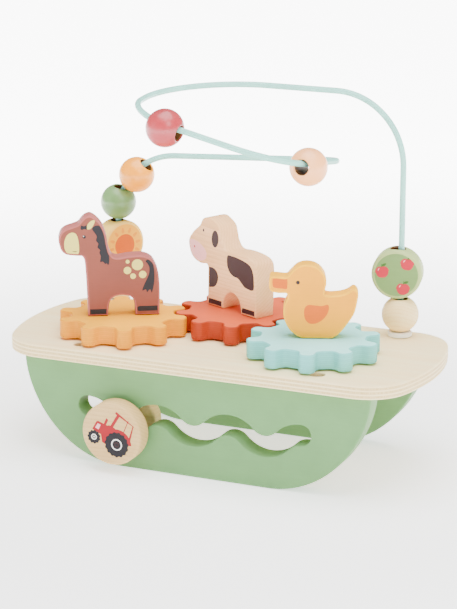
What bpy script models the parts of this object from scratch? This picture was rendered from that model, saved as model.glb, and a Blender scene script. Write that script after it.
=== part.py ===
"""Bead maze on a small table: a plywood deck on two green side panels, three meshing
wooden gears that carry a horse, a cow and a duck, a bent steel wire with beads and
picture discs, and a picture disc that slides in a wavy slot.

Blender 4.5, metres, +Z up. Z = 0 is the surface that the two side panels stand on.
X runs along the deck and +Y points to the back. X = Y = 0 is the middle of the front
panel's foot.
"""

import math

import bmesh
import bpy
from mathutils import Matrix, Vector

MM = 0.001

# Clearances
SEAT_GAP = 0.3 * MM
CUT_OVERRUN = 2.0 * MM

# Deck board
DECK_LENGTH = 290.0 * MM
DECK_DEPTH = 128.0 * MM
DECK_THICKNESS = 9.0 * MM
DECK_CORNER_RADIUS = 30.0 * MM
DECK_END_RADIUS = 140.0 * MM
DECK_EDGE = 1.2 * MM

# Side panels
PANEL_HEIGHT = 69.0 * MM
PANEL_THICKNESS = 14.5 * MM
PANEL_TOP_LENGTH = 242.0 * MM
PANEL_FOOT_LENGTH = 104.6 * MM
PANEL_SETBACK = 6.0 * MM
PANEL_EDGE = 1.2 * MM
PANEL_HEIGHT_POWER_SHARE = 1.74
PANEL_WIDTH_POWER_SHARE = 2.03

# Wavy slot in the front panel
SLOT_WIDTH = 13.5 * MM
SLOT_WAVE_LENGTH = 50.0 * MM
SLOT_WAVE_SWING = 5.35 * MM
SLOT_MIDDLE_HEIGHT = 33.45 * MM
SLOT_WAVES = 3

# Sliding disc in the slot
SLIDER_DISC_DIAMETER = 42.0 * MM
SLIDER_DISC_THICKNESS = 14.4 * MM
SLIDER_DISC_EDGE = 2.4 * MM
SLIDER_PEG_DIAMETER = 12.0 * MM
SLIDER_FRONT_PLAY = 3.0 * MM
SLIDER_BACK_PLAY = 1.4 * MM
RETAINER_DIAMETER = 33.0 * MM
RETAINER_THICKNESS = 10.0 * MM
RETAINER_EDGE = 1.6 * MM
SLIDER_SCREW_BITE = 8.0 * MM
SLIDER_SCREW_SINK = 4.2 * MM
SLIDER_WAVE_INDEX = 0

# Wood screws
SCREW_SHANK_DIAMETER = 4.0 * MM
SCREW_HEAD_DIAMETER = 8.4 * MM
SCREW_HEAD_HEIGHT = 2.6 * MM
SCREW_EDGE = 0.6 * MM
SCREW_TIP = 3.0 * MM
DECK_SCREW_BITE = 26.0 * MM
DECK_SCREW_SINK = 5.2 * MM
DECK_SCREW_TO_POST = 20.5 * MM

# Gears
GEAR_TEETH = 10
GEAR_TIP_RADIUS = 43.5 * MM
GEAR_ROOT_RADIUS = 34.0 * MM
GEAR_TIP_WIDTH = 9.4 * MM
GEAR_BASE_WIDTH = 11.6 * MM
GEAR_TIP_ROUND = 3.3 * MM
GEAR_BASE_ROUND = 3.3 * MM
GEAR_THICKNESS = 12.0 * MM
GEAR_EDGE = 0.8 * MM
GEAR_CENTRE_DISTANCE = 78.5 * MM
GEAR_ROW_ANGLE = 30.0
GEAR_ROW_BACK = 15.5 * MM
GEAR_FIRST_TOOTH = 9.4
TOP_SHIFT = -1.6 * MM

# Gear axles
AXLE_DIAMETER = 8.0 * MM
AXLE_HEAD_DIAMETER = 15.0 * MM
AXLE_HEAD_HEIGHT = 4.5 * MM
AXLE_BITE = 6.0 * MM
WASHER_DIAMETER = 18.0 * MM
WASHER_THICKNESS = 1.2 * MM
SPACER_DIAMETER = 22.0 * MM
SPACER_THICKNESS = 0.8 * MM

# Animal figures, with their lengths along the heading and the share of the length
# at which the gear's axis passes
FIGURE_THICKNESS = 16.0 * MM
FIGURE_EDGE = 1.5 * MM
FIGURE_LEAST_BOW = 0.2 * MM
HORSE_LENGTH = 67.0 * MM
HORSE_HEIGHT = 67.0 * MM
HORSE_HEADING = 29.0
HORSE_AXIS_SHARE = 0.643
COW_LENGTH = 70.0 * MM
COW_HEIGHT = 60.0 * MM
COW_HEADING = -26.0
COW_AXIS_SHARE = 0.634
DUCK_LENGTH = 56.0 * MM
DUCK_HEIGHT = 48.5 * MM
DUCK_HEADING = 21.0
DUCK_AXIS_SHARE = 0.505
DOWEL_DIAMETER = 6.0 * MM
DOWEL_FIGURE_BITE = 10.0 * MM
DOWEL_GEAR_BITE = 4.6 * MM

# Wire
WIRE_DIAMETER = 4.0 * MM
WIRE_FOOT = 24.0 * MM
WIRE_RISE = 160.7 * MM
WIRE_POST_SPAN = 207.0 * MM
WIRE_POST_SETBACK = 0.25 * MM
WIRE_BEND_RADII = (47.1 * MM, 59.1 * MM, 35.5 * MM, 41.8 * MM, 19.1 * MM, 46.1 * MM)
COLLAR_DIAMETER = 16.0 * MM
COLLAR_HEIGHT = 3.2 * MM
COLLAR_EDGE = 0.8 * MM

# Beads and picture discs
BEAD_DIAMETER = 24.5 * MM
BEAD_BORE = 9.8 * MM
BEAD_HANG = 2.2 * MM
GREEN_BEAD_LEAN = 1.0 * MM
YELLOW_BEAD_LEAN = 2.2 * MM
PICTURE_DIAMETER = 33.4 * MM
PICTURE_THICKNESS = 15.0 * MM
PICTURE_EDGE = 2.4 * MM
APPLE_DISC_LEAN = 2.4 * MM
RED_BEAD_SHARE = 0.91
PEACH_BEAD_SHARE = 0.03
APPLE_FACING = 12.0
SUN_FACING = 60.0

# Mesh fineness
ROUND_SIDES = 20
SMALL_SIDES = 12
BIG_SIDES = 32
WIRE_SIDES = 10
ARC_STEPS = 2
DECK_STEPS = 6
DECK_END_SKIP = 4
PANEL_STEPS = 14
SLOT_STEPS = 4
SLOT_END_STEPS = 6
BEAD_STEPS = 8
BEND_STEP_ANGLE = 9.0
LEAST_BEND_STEPS = 3
SHARP_ANGLE = 35.0
LEAST_MITRE = 0.5

# Shapes written as shares of their own named sizes: X along the length, then Z.
# A third value of 1 marks a sharp corner.
HORSE_SHARES = (
    (0.000, 0.766, 0), (0.012, 0.673, 0), (0.052, 0.608, 0), (0.125, 0.582, 0),
    (0.204, 0.592, 0), (0.240, 0.560, 0), (0.260, 0.465, 0), (0.276, 0.267, 0),
    (0.291, 0.000, 1), (0.480, 0.000, 1), (0.498, 0.125, 0), (0.531, 0.174, 0),
    (0.615, 0.192, 0), (0.700, 0.178, 0), (0.742, 0.125, 0), (0.760, 0.000, 1),
    (0.995, 0.000, 1), (1.000, 0.267, 0), (0.990, 0.423, 0), (0.959, 0.517, 0),
    (0.905, 0.575, 0), (0.816, 0.586, 0), (0.714, 0.572, 0), (0.612, 0.558, 0),
    (0.551, 0.570, 0), (0.512, 0.610, 0), (0.490, 0.673, 0), (0.469, 0.766, 0),
    (0.429, 0.870, 0), (0.370, 0.952, 0), (0.306, 1.000, 0), (0.235, 0.974, 0),
    (0.180, 0.906, 0), (0.120, 0.870, 0), (0.051, 0.852, 0), (0.012, 0.815, 0),
)
COW_SHARES = (
    (0.000, 0.681, 0), (0.026, 0.548, 0), (0.085, 0.478, 0), (0.176, 0.448, 0),
    (0.278, 0.450, 0), (0.288, 0.307, 0), (0.281, 0.000, 1), (0.505, 0.000, 1),
    (0.518, 0.090, 0), (0.556, 0.164, 0), (0.625, 0.209, 0), (0.700, 0.190, 0),
    (0.752, 0.131, 0), (0.776, 0.000, 1), (0.987, 0.000, 1), (0.995, 0.290, 0),
    (1.000, 0.540, 0), (0.960, 0.628, 0), (0.856, 0.664, 0), (0.712, 0.676, 0),
    (0.570, 0.672, 0), (0.505, 0.740, 0), (0.476, 0.840, 0), (0.451, 0.917, 0),
    (0.380, 0.972, 0), (0.307, 1.000, 0), (0.215, 0.970, 0), (0.165, 0.885, 0),
    (0.072, 0.797, 0),
)
DUCK_SHARES = (
    (0.000, 0.812, 0), (0.004, 0.655, 0), (0.084, 0.612, 0), (0.195, 0.606, 0),
    (0.200, 0.540, 0), (0.165, 0.450, 0), (0.158, 0.340, 0), (0.175, 0.235, 0),
    (0.231, 0.114, 0), (0.309, 0.037, 0), (0.376, 0.000, 1), (0.715, 0.000, 1),
    (0.790, 0.060, 0), (0.873, 0.176, 0), (0.962, 0.339, 0), (1.000, 0.520, 0),
    (1.004, 0.622, 0), (0.952, 0.676, 0), (0.870, 0.620, 0), (0.760, 0.590, 0),
    (0.640, 0.592, 0), (0.630, 0.660, 0), (0.644, 0.755, 0), (0.613, 0.878, 0),
    (0.531, 0.969, 0), (0.422, 1.000, 0), (0.313, 0.969, 0), (0.231, 0.878, 0),
    (0.185, 0.830, 0), (0.060, 0.840, 0),
)
# Dowel places along each figure, as shares of its length
HORSE_DOWEL_SHARES = (0.385, 0.880)
COW_DOWEL_SHARES = (0.390, 0.880)
DUCK_DOWEL_SHARES = (0.450, 0.640)
# Corners of the wire: shares of half the post span, of the post's depth and of the rise
WIRE_CORNER_SHARES = (
    (1.000, 1.000, 1.000),
    (-0.566, 1.056, 1.000),
    (-0.462, -1.027, 0.980),
    (0.567, -0.891, 0.808),
    (0.626, 0.962, 0.720),
    (-1.000, 1.000, 0.657),
)

# Sizes that follow from the ones above
DECK_BOTTOM = PANEL_HEIGHT
DECK_TOP = DECK_BOTTOM + DECK_THICKNESS
PANEL_OUTER = DECK_DEPTH / 2 - PANEL_SETBACK
PANEL_MIDDLE = PANEL_OUTER - PANEL_THICKNESS / 2
PANEL_INNER = PANEL_OUTER - PANEL_THICKNESS
POST_DEPTH = PANEL_MIDDLE + WIRE_POST_SETBACK
POST_HALF_SPAN = WIRE_POST_SPAN / 2
DECK_SCREW_REACH = POST_HALF_SPAN - DECK_SCREW_TO_POST
SPACER_BOTTOM = DECK_TOP + SEAT_GAP
GEAR_BOTTOM = SPACER_BOTTOM + SPACER_THICKNESS + SEAT_GAP
GEAR_TOP = GEAR_BOTTOM + GEAR_THICKNESS
FIGURE_BOTTOM = GEAR_TOP + SEAT_GAP
COLLAR_BOTTOM = DECK_TOP + SEAT_GAP
COLLAR_TOP = COLLAR_BOTTOM + COLLAR_HEIGHT
BEAD_HALF_BORE_LENGTH = math.sqrt((BEAD_DIAMETER / 2) ** 2 - (BEAD_BORE / 2) ** 2)
POST_BEAD_HEIGHT = COLLAR_TOP + SEAT_GAP + BEAD_HALF_BORE_LENGTH
PICTURE_HEIGHT = POST_BEAD_HEIGHT + BEAD_HALF_BORE_LENGTH + SEAT_GAP + PICTURE_DIAMETER / 2
SLOT_SWEEP = 2 * math.atan2(SLOT_WAVE_SWING, SLOT_WAVE_LENGTH / 4)
SLOT_ARC_RADIUS = SLOT_WAVE_LENGTH / 4 / math.sin(SLOT_SWEEP)
SLOT_CREST = SLOT_MIDDLE_HEIGHT + SLOT_WAVE_SWING
SLOT_VALLEY = SLOT_MIDDLE_HEIGHT - SLOT_WAVE_SWING
SLOT_HALF_LENGTH = SLOT_WAVES * SLOT_WAVE_LENGTH / 2
DECK_MIDDLE_Y = PANEL_MIDDLE

STANDING = Matrix.Rotation(math.pi / 2, 4, "X")


def clear_scene():
    for item in list(bpy.data.objects):
        bpy.data.objects.remove(item, do_unlink=True)


def make_material(name, colour, roughness, metallic=0.0):
    paint = bpy.data.materials.new(name)
    paint.use_nodes = True
    shader = paint.node_tree.nodes["Principled BSDF"]
    shader.inputs["Base Color"].default_value = (*colour, 1.0)
    shader.inputs["Roughness"].default_value = roughness
    shader.inputs["Metallic"].default_value = metallic
    paint.diffuse_color = (*colour, 1.0)
    return paint


def add_piece(name, bm, paint, place=(0, 0, 0), turn=None, parent=None):
    """Turn a bmesh into a named, smooth-shaded object at its place on the maze."""
    bmesh.ops.recalc_face_normals(bm, faces=bm.faces)
    mesh = bpy.data.meshes.new(name)
    bm.to_mesh(mesh)
    bm.free()
    mesh.materials.append(paint)
    mesh.shade_smooth()
    mesh.set_sharp_from_angle(angle=math.radians(SHARP_ANGLE))
    piece = bpy.data.objects.new(name, mesh)
    bpy.context.collection.objects.link(piece)
    piece.location = place
    if turn is not None:
        piece.rotation_euler = turn.to_euler()
    piece.parent = parent or bpy.data.objects["maze"]
    return piece


def add_axis(name, place):
    """An empty that marks the axis that the pieces under it turn or slide on."""
    axis = bpy.data.objects.new(name, None)
    bpy.context.collection.objects.link(axis)
    axis.location = place
    axis.parent = bpy.data.objects["maze"]
    return axis


def add_maze():
    """The empty that carries the whole toy, at the middle of the deck."""
    maze = bpy.data.objects.new("maze", None)
    bpy.context.collection.objects.link(maze)
    maze.location = (0, DECK_MIDDLE_Y, 0)


def cut(piece, bm, name):
    """Take the closed shapes in bm away from the piece with an exact Boolean."""
    bmesh.ops.recalc_face_normals(bm, faces=bm.faces)
    mesh = bpy.data.meshes.new(name)
    bm.to_mesh(mesh)
    bm.free()
    cutter = bpy.data.objects.new(name, mesh)
    bpy.context.collection.objects.link(cutter)
    cutter.parent = piece
    cutter.hide_render = True
    cutter.display_type = "WIRE"
    boolean = piece.modifiers.new(name, "BOOLEAN")
    boolean.operation = "DIFFERENCE"
    boolean.solver = "EXACT"
    boolean.object = cutter
    return cutter


def bridge(bm, first, second):
    """Join two rings of vertices with quads, or with triangles where one is a point."""
    count = max(len(first), len(second))
    for index in range(count):
        following = (index + 1) % count
        if len(first) == 1:
            bm.faces.new((first[0], second[index], second[following]))
        elif len(second) == 1:
            bm.faces.new((first[index], first[following], second[0]))
        else:
            bm.faces.new((first[index], first[following], second[following], second[index]))


def turned(profile, sides, bm=None, frame=Matrix.Identity(4), ring=False):
    """Spin a profile of (radius, height) points about Z. A ring's profile is closed."""
    bm = bm or bmesh.new()
    rings = []
    for radius, height in profile:
        if radius == 0:
            rings.append([bm.verts.new(frame @ Vector((0, 0, height)))])
            continue
        loop = []
        for index in range(sides):
            angle = math.tau * index / sides
            point = Vector((radius * math.cos(angle), radius * math.sin(angle), height))
            loop.append(bm.verts.new(frame @ point))
        rings.append(loop)
    for lower, upper in zip(rings, rings[1:]):
        bridge(bm, lower, upper)
    if ring:
        bridge(bm, rings[-1], rings[0])
    return bm


def rod(radius, low, high):
    """Profile of a plain round bar."""
    return [(0, low), (radius, low), (radius, high), (0, high)]


def rounded_disc(radius, low, high, edge):
    """Profile of a disc whose rim is rounded by edge on both faces."""
    points = [(0, low)]
    for step in range(ARC_STEPS + 1):
        angle = math.pi / 2 * step / ARC_STEPS
        points.append((radius - edge + edge * math.sin(angle), low + edge - edge * math.cos(angle)))
    for step in range(ARC_STEPS + 1):
        angle = math.pi / 2 * step / ARC_STEPS
        points.append((radius - edge + edge * math.cos(angle), high - edge + edge * math.sin(angle)))
    points.append((0, high))
    return points


def inset_outline(outline, distance):
    """Move each point of a closed outline inwards by distance, square to its sides."""
    area = sum(a[0] * b[1] - b[0] * a[1] for a, b in zip(outline, outline[1:] + outline[:1]))
    side = 1 if area > 0 else -1
    moved = []
    for index, point in enumerate(outline):
        before = Vector(point) - Vector(outline[index - 1])
        after = Vector(outline[(index + 1) % len(outline)]) - Vector(point)
        before.normalize()
        after.normalize()
        first = Vector((-before.y, before.x)) * side
        second = Vector((-after.y, after.x)) * side
        middle = (first + second).normalized()
        moved.append(Vector(point) + middle * (distance / max(middle.dot(first), LEAST_MITRE)))
    return moved


def slab(outline, low, high, edge, frame=Matrix.Identity(4)):
    """Extrude a closed outline from low to high, with both rims eased by edge."""
    bm = bmesh.new()
    inner = inset_outline(outline, edge)
    layers = ((inner, low), (outline, low + edge), (outline, high - edge), (inner, high))
    rings = []
    for points, height in layers:
        rings.append([bm.verts.new(frame @ Vector((x, y, height))) for x, y in points])
    for lower, upper in zip(rings, rings[1:]):
        bridge(bm, lower, upper)
    caps = [bm.faces.new(rings[0]), bm.faces.new(rings[-1])]
    bmesh.ops.triangulate(bm, faces=caps)
    return bm


def arc(centre, radius, start, end, steps):
    """Points along an arc, both ends included. Angles are in radians."""
    points = []
    for step in range(steps + 1):
        angle = start + (end - start) * step / steps
        points.append((centre[0] + radius * math.cos(angle), centre[1] + radius * math.sin(angle)))
    return points


def smooth_outline(shares, length, height, axis_share):
    """A closed curve through the points of a figure, with a point between each two
    where the curve bows away from the straight line."""
    points = [(Vector(((x - axis_share) * length, z * height)), corner) for x, z, corner in shares]
    count = len(points)
    outline = []
    for index in range(count):
        before, _ = points[index - 1]
        here, here_corner = points[index]
        there, there_corner = points[(index + 1) % count]
        after, _ = points[(index + 2) % count]
        outline.append(here)
        if here_corner and there_corner:
            continue
        leave = (there - here) if here_corner else (there - before) / 2
        arrive = (there - here) if there_corner else (after - here) / 2
        bow = (leave - arrive) / 8
        if bow.length > FIGURE_LEAST_BOW:
            outline.append((here + there) / 2 + bow)
    return outline


def deck_outline():
    """Straight long sides, bulging ends and rounded corners."""
    half_length = DECK_LENGTH / 2
    half_depth = DECK_DEPTH / 2
    end_centre = half_length - DECK_END_RADIUS
    rise = half_depth - DECK_CORNER_RADIUS
    reach = DECK_END_RADIUS - DECK_CORNER_RADIUS
    corner_x = end_centre + math.sqrt(reach ** 2 - rise ** 2)
    tilt = math.asin(rise / reach)
    right = arc((end_centre, 0), DECK_END_RADIUS, -tilt, tilt, DECK_STEPS)
    corner = arc((corner_x, rise), DECK_CORNER_RADIUS, tilt, math.pi / 2, DECK_STEPS)
    top_right = right[DECK_END_SKIP:-1] + corner
    top_left = [(-x, y) for x, y in reversed(top_right)]
    back = top_right + top_left
    middle = [(-half_length, 0)]
    front = [(x, -y) for x, y in reversed(back)]
    return back + middle + front + [(half_length, 0)]


def panel_outline():
    """A bowl shape with a flat foot, wide under the deck and narrow on the ground."""
    top = PANEL_TOP_LENGTH / 2
    foot = PANEL_FOOT_LENGTH / 2
    full = PANEL_HEIGHT - SEAT_GAP
    side = []
    for step in range(PANEL_STEPS + 1):
        height = full * (step / PANEL_STEPS) ** 2
        fall = (1 - height / full) ** PANEL_HEIGHT_POWER_SHARE
        width = foot + (top - foot) * (1 - fall) ** (1 / PANEL_WIDTH_POWER_SHARE)
        side.append((width, height))
    return side + [(-x, z) for x, z in reversed(side)]


def slot_middle():
    """The wavy middle line of the slot: crests at both ends and arcs in between."""
    points = []
    for wave in range(2 * SLOT_WAVES):
        start_x = -SLOT_HALF_LENGTH + wave * SLOT_WAVE_LENGTH / 2
        from_crest = wave % 2 == 0
        sign = 1 if from_crest else -1
        first_level = SLOT_CREST if from_crest else SLOT_VALLEY
        last_level = SLOT_VALLEY if from_crest else SLOT_CREST
        for step in range(SLOT_STEPS):
            angle = SLOT_SWEEP * step / SLOT_STEPS
            x = start_x + SLOT_ARC_RADIUS * math.sin(angle)
            z = first_level - sign * SLOT_ARC_RADIUS * (1 - math.cos(angle))
            points.append((x, z, -sign * angle))
        for step in range(SLOT_STEPS):
            angle = SLOT_SWEEP * (SLOT_STEPS - step) / SLOT_STEPS
            x = start_x + SLOT_WAVE_LENGTH / 2 - SLOT_ARC_RADIUS * math.sin(angle)
            z = last_level + sign * SLOT_ARC_RADIUS * (1 - math.cos(angle))
            points.append((x, z, -sign * angle))
    points.append((SLOT_HALF_LENGTH, SLOT_CREST, 0))
    return points


def slot_outline(width):
    """Both walls of the wavy slot and its two round ends."""
    middle = slot_middle()
    half = width / 2
    upper = [(x - half * math.sin(t), z + half * math.cos(t)) for x, z, t in middle]
    lower = [(x + half * math.sin(t), z - half * math.cos(t)) for x, z, t in middle]
    up = math.pi / 2
    right = arc((SLOT_HALF_LENGTH, SLOT_CREST), half, up, -up, SLOT_END_STEPS)
    left = arc((-SLOT_HALF_LENGTH, SLOT_CREST), half, -up, -up - math.pi, SLOT_END_STEPS)
    return upper + right[1:-1] + list(reversed(lower)) + left[1:-1]


def round_corners(corners, radii, steps):
    """Replace each corner of a closed outline by an arc of its own radius."""
    outline = []
    count = len(corners)
    for index in range(count):
        here = Vector(corners[index])
        back = (Vector(corners[index - 1]) - here).normalized()
        ahead = (Vector(corners[(index + 1) % count]) - here).normalized()
        half = back.angle(ahead) / 2
        middle = here + (back + ahead).normalized() * (radii[index] / math.sin(half))
        start = here + back * (radii[index] / math.tan(half)) - middle
        turn = math.pi - 2 * half
        if back.x * ahead.y - back.y * ahead.x > 0:
            turn = -turn
        for step in range(steps + 1):
            angle = turn * step / steps
            spun = Matrix.Rotation(angle, 2) @ start
            outline.append(middle + spun)
    return outline


def gear_outline(first_tooth):
    """Ten teeth with rounded tips and rounded valleys."""
    corners = []
    radii = []
    tooth = (
        (GEAR_ROOT_RADIUS, -GEAR_BASE_WIDTH / 2, GEAR_BASE_ROUND),
        (GEAR_TIP_RADIUS, -GEAR_TIP_WIDTH / 2, GEAR_TIP_ROUND),
        (GEAR_TIP_RADIUS, GEAR_TIP_WIDTH / 2, GEAR_TIP_ROUND),
        (GEAR_ROOT_RADIUS, GEAR_BASE_WIDTH / 2, GEAR_BASE_ROUND),
    )
    for index in range(GEAR_TEETH):
        spin = Matrix.Rotation(math.radians(first_tooth) + math.tau * index / GEAR_TEETH, 2)
        for along, across, radius in tooth:
            corners.append(spin @ Vector((along, across)))
            radii.append(radius)
    return round_corners(corners, radii, ARC_STEPS)


def wire_corners():
    """The bend points of the wire, from the right foot over the top to the left foot."""
    points = []
    for along, deep, high in WIRE_CORNER_SHARES:
        points.append(Vector((
            TOP_SHIFT + along * POST_HALF_SPAN,
            deep * POST_DEPTH,
            DECK_TOP + high * WIRE_RISE,
        )))
    foot = DECK_BOTTOM - WIRE_FOOT
    right_foot = Vector((points[0].x, points[0].y, foot))
    left_foot = Vector((points[-1].x, points[-1].y, foot))
    return [right_foot] + points + [left_foot]


def wire_bends():
    """Each bend of the wire as its centre, turning axis, first point and turn."""
    corners = wire_corners()
    bends = []
    for index, radius in enumerate(WIRE_BEND_RADII):
        before, here, after = corners[index:index + 3]
        incoming = (here - before).normalized()
        outgoing = (after - here).normalized()
        turn = incoming.angle(outgoing)
        axis = incoming.cross(outgoing).normalized()
        start = here - incoming * (radius * math.tan(turn / 2))
        centre = start + axis.cross(incoming) * radius
        bends.append({
            "centre": centre, "axis": axis, "start": start, "turn": turn,
            "radius": radius, "incoming": incoming,
        })
    return bends


def on_bend(bend, angle, inwards=0):
    """Point and heading of the wire at an angle into a bend, moved towards its centre."""
    spin = Matrix.Rotation(angle, 3, bend["axis"])
    arm = bend["start"] - bend["centre"]
    arm = arm * ((bend["radius"] - inwards) / bend["radius"])
    return bend["centre"] + spin @ arm, spin @ bend["incoming"]


def wire_path():
    """Points along the middle of the wire, with more of them on its bends."""
    corners = wire_corners()
    path = [corners[0]]
    for bend in wire_bends():
        steps = max(LEAST_BEND_STEPS, round(math.degrees(bend["turn"]) / BEND_STEP_ANGLE))
        for step in range(steps + 1):
            path.append(on_bend(bend, bend["turn"] * step / steps)[0])
    path.append(corners[-1])
    return path


def swept(path, radius, sides):
    """A round tube along a path, turned as little as possible from ring to ring."""
    bm = bmesh.new()
    heading = (path[1] - path[0]).normalized()
    across = heading.orthogonal().normalized()
    rings = []
    for index, point in enumerate(path):
        before = path[max(index - 1, 0)]
        after = path[min(index + 1, len(path) - 1)]
        heading = ((point - before).normalized() + (after - point).normalized()).normalized()
        across = (across - heading * across.dot(heading)).normalized()
        upright = heading.cross(across)
        loop = []
        for side in range(sides):
            angle = math.tau * side / sides
            offset = across * math.cos(angle) + upright * math.sin(angle)
            loop.append(bm.verts.new(point + offset * radius))
        rings.append(loop)
    for lower, upper in zip(rings, rings[1:]):
        bridge(bm, lower, upper)
    bm.faces.new(rings[0])
    bm.faces.new(rings[-1])
    return bm


def gear_centre(index):
    """Middle of gear 0, 1 or 2: the middle one stands back from the other two."""
    angle = math.radians(GEAR_ROW_ANGLE)
    along = (index - 1) * GEAR_CENTRE_DISTANCE * math.cos(angle)
    back = GEAR_CENTRE_DISTANCE * math.sin(angle) if index == 1 else 0
    return Vector((TOP_SHIFT + along, back - GEAR_ROW_BACK, 0))


def gear_phase(index):
    """Angle of a tooth, so that teeth meet gaps on both lines of centres."""
    half_pitch = 180 / GEAR_TEETH
    first = GEAR_FIRST_TOOTH
    second = 2 * GEAR_ROW_ANGLE + 180 + half_pitch - first
    third = half_pitch - 2 * GEAR_ROW_ANGLE - second
    return (first, second, third)[index]


def screw_profile(length, head_radius, head_height, shank_radius, edge, tip):
    """A round-headed screw, point down, with the top of its head at zero."""
    return [
        (0, -head_height - length),
        (shank_radius, -head_height - length + tip),
        (shank_radius, -head_height),
        (head_radius, -head_height),
        (head_radius, -edge),
        (head_radius - edge, 0),
        (0, 0),
    ]


def build_deck(paint):
    deck = add_piece("deck_board", slab(deck_outline(), DECK_BOTTOM, DECK_TOP, DECK_EDGE), paint)
    cutters = bmesh.new()
    low = DECK_BOTTOM - CUT_OVERRUN
    high = DECK_TOP + CUT_OVERRUN
    shank = SCREW_SHANK_DIAMETER / 2 + SEAT_GAP
    head = SCREW_HEAD_DIAMETER / 2 + 2 * SEAT_GAP
    shelf = DECK_TOP - DECK_SCREW_SINK
    stepped = [(0, low), (shank, low), (shank, shelf), (head, shelf), (head, high), (0, high)]
    for x, y in deck_screw_places():
        turned(stepped, SMALL_SIDES, cutters, Matrix.Translation((x, y, 0)))
    axle = rod(AXLE_DIAMETER / 2 + SEAT_GAP, low, high)
    for index in range(3):
        turned(axle, ROUND_SIDES, cutters, Matrix.Translation(gear_centre(index)))
    post = rod(WIRE_DIAMETER / 2 + SEAT_GAP, low, high)
    for x in post_places():
        turned(post, SMALL_SIDES, cutters, Matrix.Translation((x, POST_DEPTH, 0)))
    cut(deck, cutters, "deck_holes")


def deck_screw_places():
    reach = DECK_SCREW_REACH
    return [(x, y) for x in (-reach, reach) for y in (-PANEL_MIDDLE, PANEL_MIDDLE)]


def post_places():
    return (TOP_SHIFT - POST_HALF_SPAN, TOP_SHIFT + POST_HALF_SPAN)


def build_panel(name, side, paint):
    """side is -1 for the front panel and 1 for the back one."""
    middle = side * PANEL_MIDDLE
    half = PANEL_THICKNESS / 2
    body = slab(panel_outline(), -half, half, PANEL_EDGE, STANDING)
    panel = add_piece(name, body, paint, (0, middle, 0))
    cutters = bmesh.new()
    top = PANEL_HEIGHT + CUT_OVERRUN
    screw_depth = DECK_TOP - DECK_SCREW_SINK - DECK_SCREW_BITE - 2 * SEAT_GAP
    pilot = rod(SCREW_SHANK_DIAMETER / 2 + SEAT_GAP, screw_depth, top)
    for x in (-DECK_SCREW_REACH, DECK_SCREW_REACH):
        turned(pilot, SMALL_SIDES, cutters, Matrix.Translation((x, 0, 0)))
    if side > 0:
        foot = DECK_BOTTOM - WIRE_FOOT - SEAT_GAP
        post = rod(WIRE_DIAMETER / 2 + SEAT_GAP, foot, top)
        for x in post_places():
            turned(post, SMALL_SIDES, cutters, Matrix.Translation((x, POST_DEPTH - middle, 0)))
    cut(panel, cutters, name + "_bores")
    if side < 0:
        through = half + CUT_OVERRUN
        wave = slab(slot_outline(SLOT_WIDTH), -through, through, 0, STANDING)
        cut(panel, wave, "slot_cutter")
    return panel


def build_deck_screws(paint):
    profile = screw_profile(
        DECK_SCREW_BITE, SCREW_HEAD_DIAMETER / 2, SCREW_HEAD_HEIGHT,
        SCREW_SHANK_DIAMETER / 2, SCREW_EDGE, SCREW_TIP,
    )
    head_top = DECK_TOP - DECK_SCREW_SINK + SEAT_GAP + SCREW_HEAD_HEIGHT
    for number, (x, y) in enumerate(deck_screw_places(), start=1):
        add_piece(f"deck_screw_{number}", turned(profile, SMALL_SIDES), paint, (x, y, head_top))


def build_gear(name, index, paint, metal, plastic, dowel_places, heading):
    """A gear with its axle, its two washers, and the empty that they turn on."""
    centre = gear_centre(index)
    axis = add_axis(name + "_axis", centre)
    body = slab(gear_outline(gear_phase(index)), 0, GEAR_THICKNESS, GEAR_EDGE)
    gear = add_piece(name, body, paint, (0, 0, GEAR_BOTTOM), None, axis)
    cutters = bmesh.new()
    depth = AXLE_BITE + SEAT_GAP
    turned(rod(AXLE_DIAMETER / 2 + SEAT_GAP, -CUT_OVERRUN, depth), ROUND_SIDES, cutters)
    floor = GEAR_THICKNESS - DOWEL_GEAR_BITE - SEAT_GAP
    socket = rod(DOWEL_DIAMETER / 2 + SEAT_GAP, floor, GEAR_THICKNESS + CUT_OVERRUN)
    spin = Matrix.Rotation(math.radians(heading), 4, "Z")
    for along in dowel_places:
        turned(socket, SMALL_SIDES, cutters, spin @ Matrix.Translation((along, 0, 0)))
    cut(gear, cutters, name + "_bores")

    washer_top = DECK_BOTTOM - SEAT_GAP
    head_top = washer_top - WASHER_THICKNESS - SEAT_GAP
    shank_top = GEAR_BOTTOM + AXLE_BITE
    head = AXLE_HEAD_DIAMETER / 2
    shank = AXLE_DIAMETER / 2
    profile = [
        (0, head_top - AXLE_HEAD_HEIGHT),
        (head - SCREW_EDGE, head_top - AXLE_HEAD_HEIGHT),
        (head, head_top - AXLE_HEAD_HEIGHT + SCREW_EDGE),
        (head, head_top),
        (shank, head_top),
        (shank, shank_top),
        (0, shank_top),
    ]
    add_piece(name + "_axle", turned(profile, ROUND_SIDES), metal, (0, 0, 0), None, axis)
    bore = shank + SEAT_GAP
    washer = ring_profile(bore, WASHER_DIAMETER / 2, washer_top - WASHER_THICKNESS, washer_top)
    add_piece(name + "_washer", turned(washer, ROUND_SIDES, ring=True), metal, centre)
    spacer = ring_profile(
        bore, SPACER_DIAMETER / 2, SPACER_BOTTOM, SPACER_BOTTOM + SPACER_THICKNESS
    )
    add_piece(name + "_spacer", turned(spacer, ROUND_SIDES, ring=True), plastic, centre)
    return axis


def ring_profile(inner, outer, low, high):
    return [(inner, low), (outer, low), (outer, high), (inner, high)]


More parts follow.
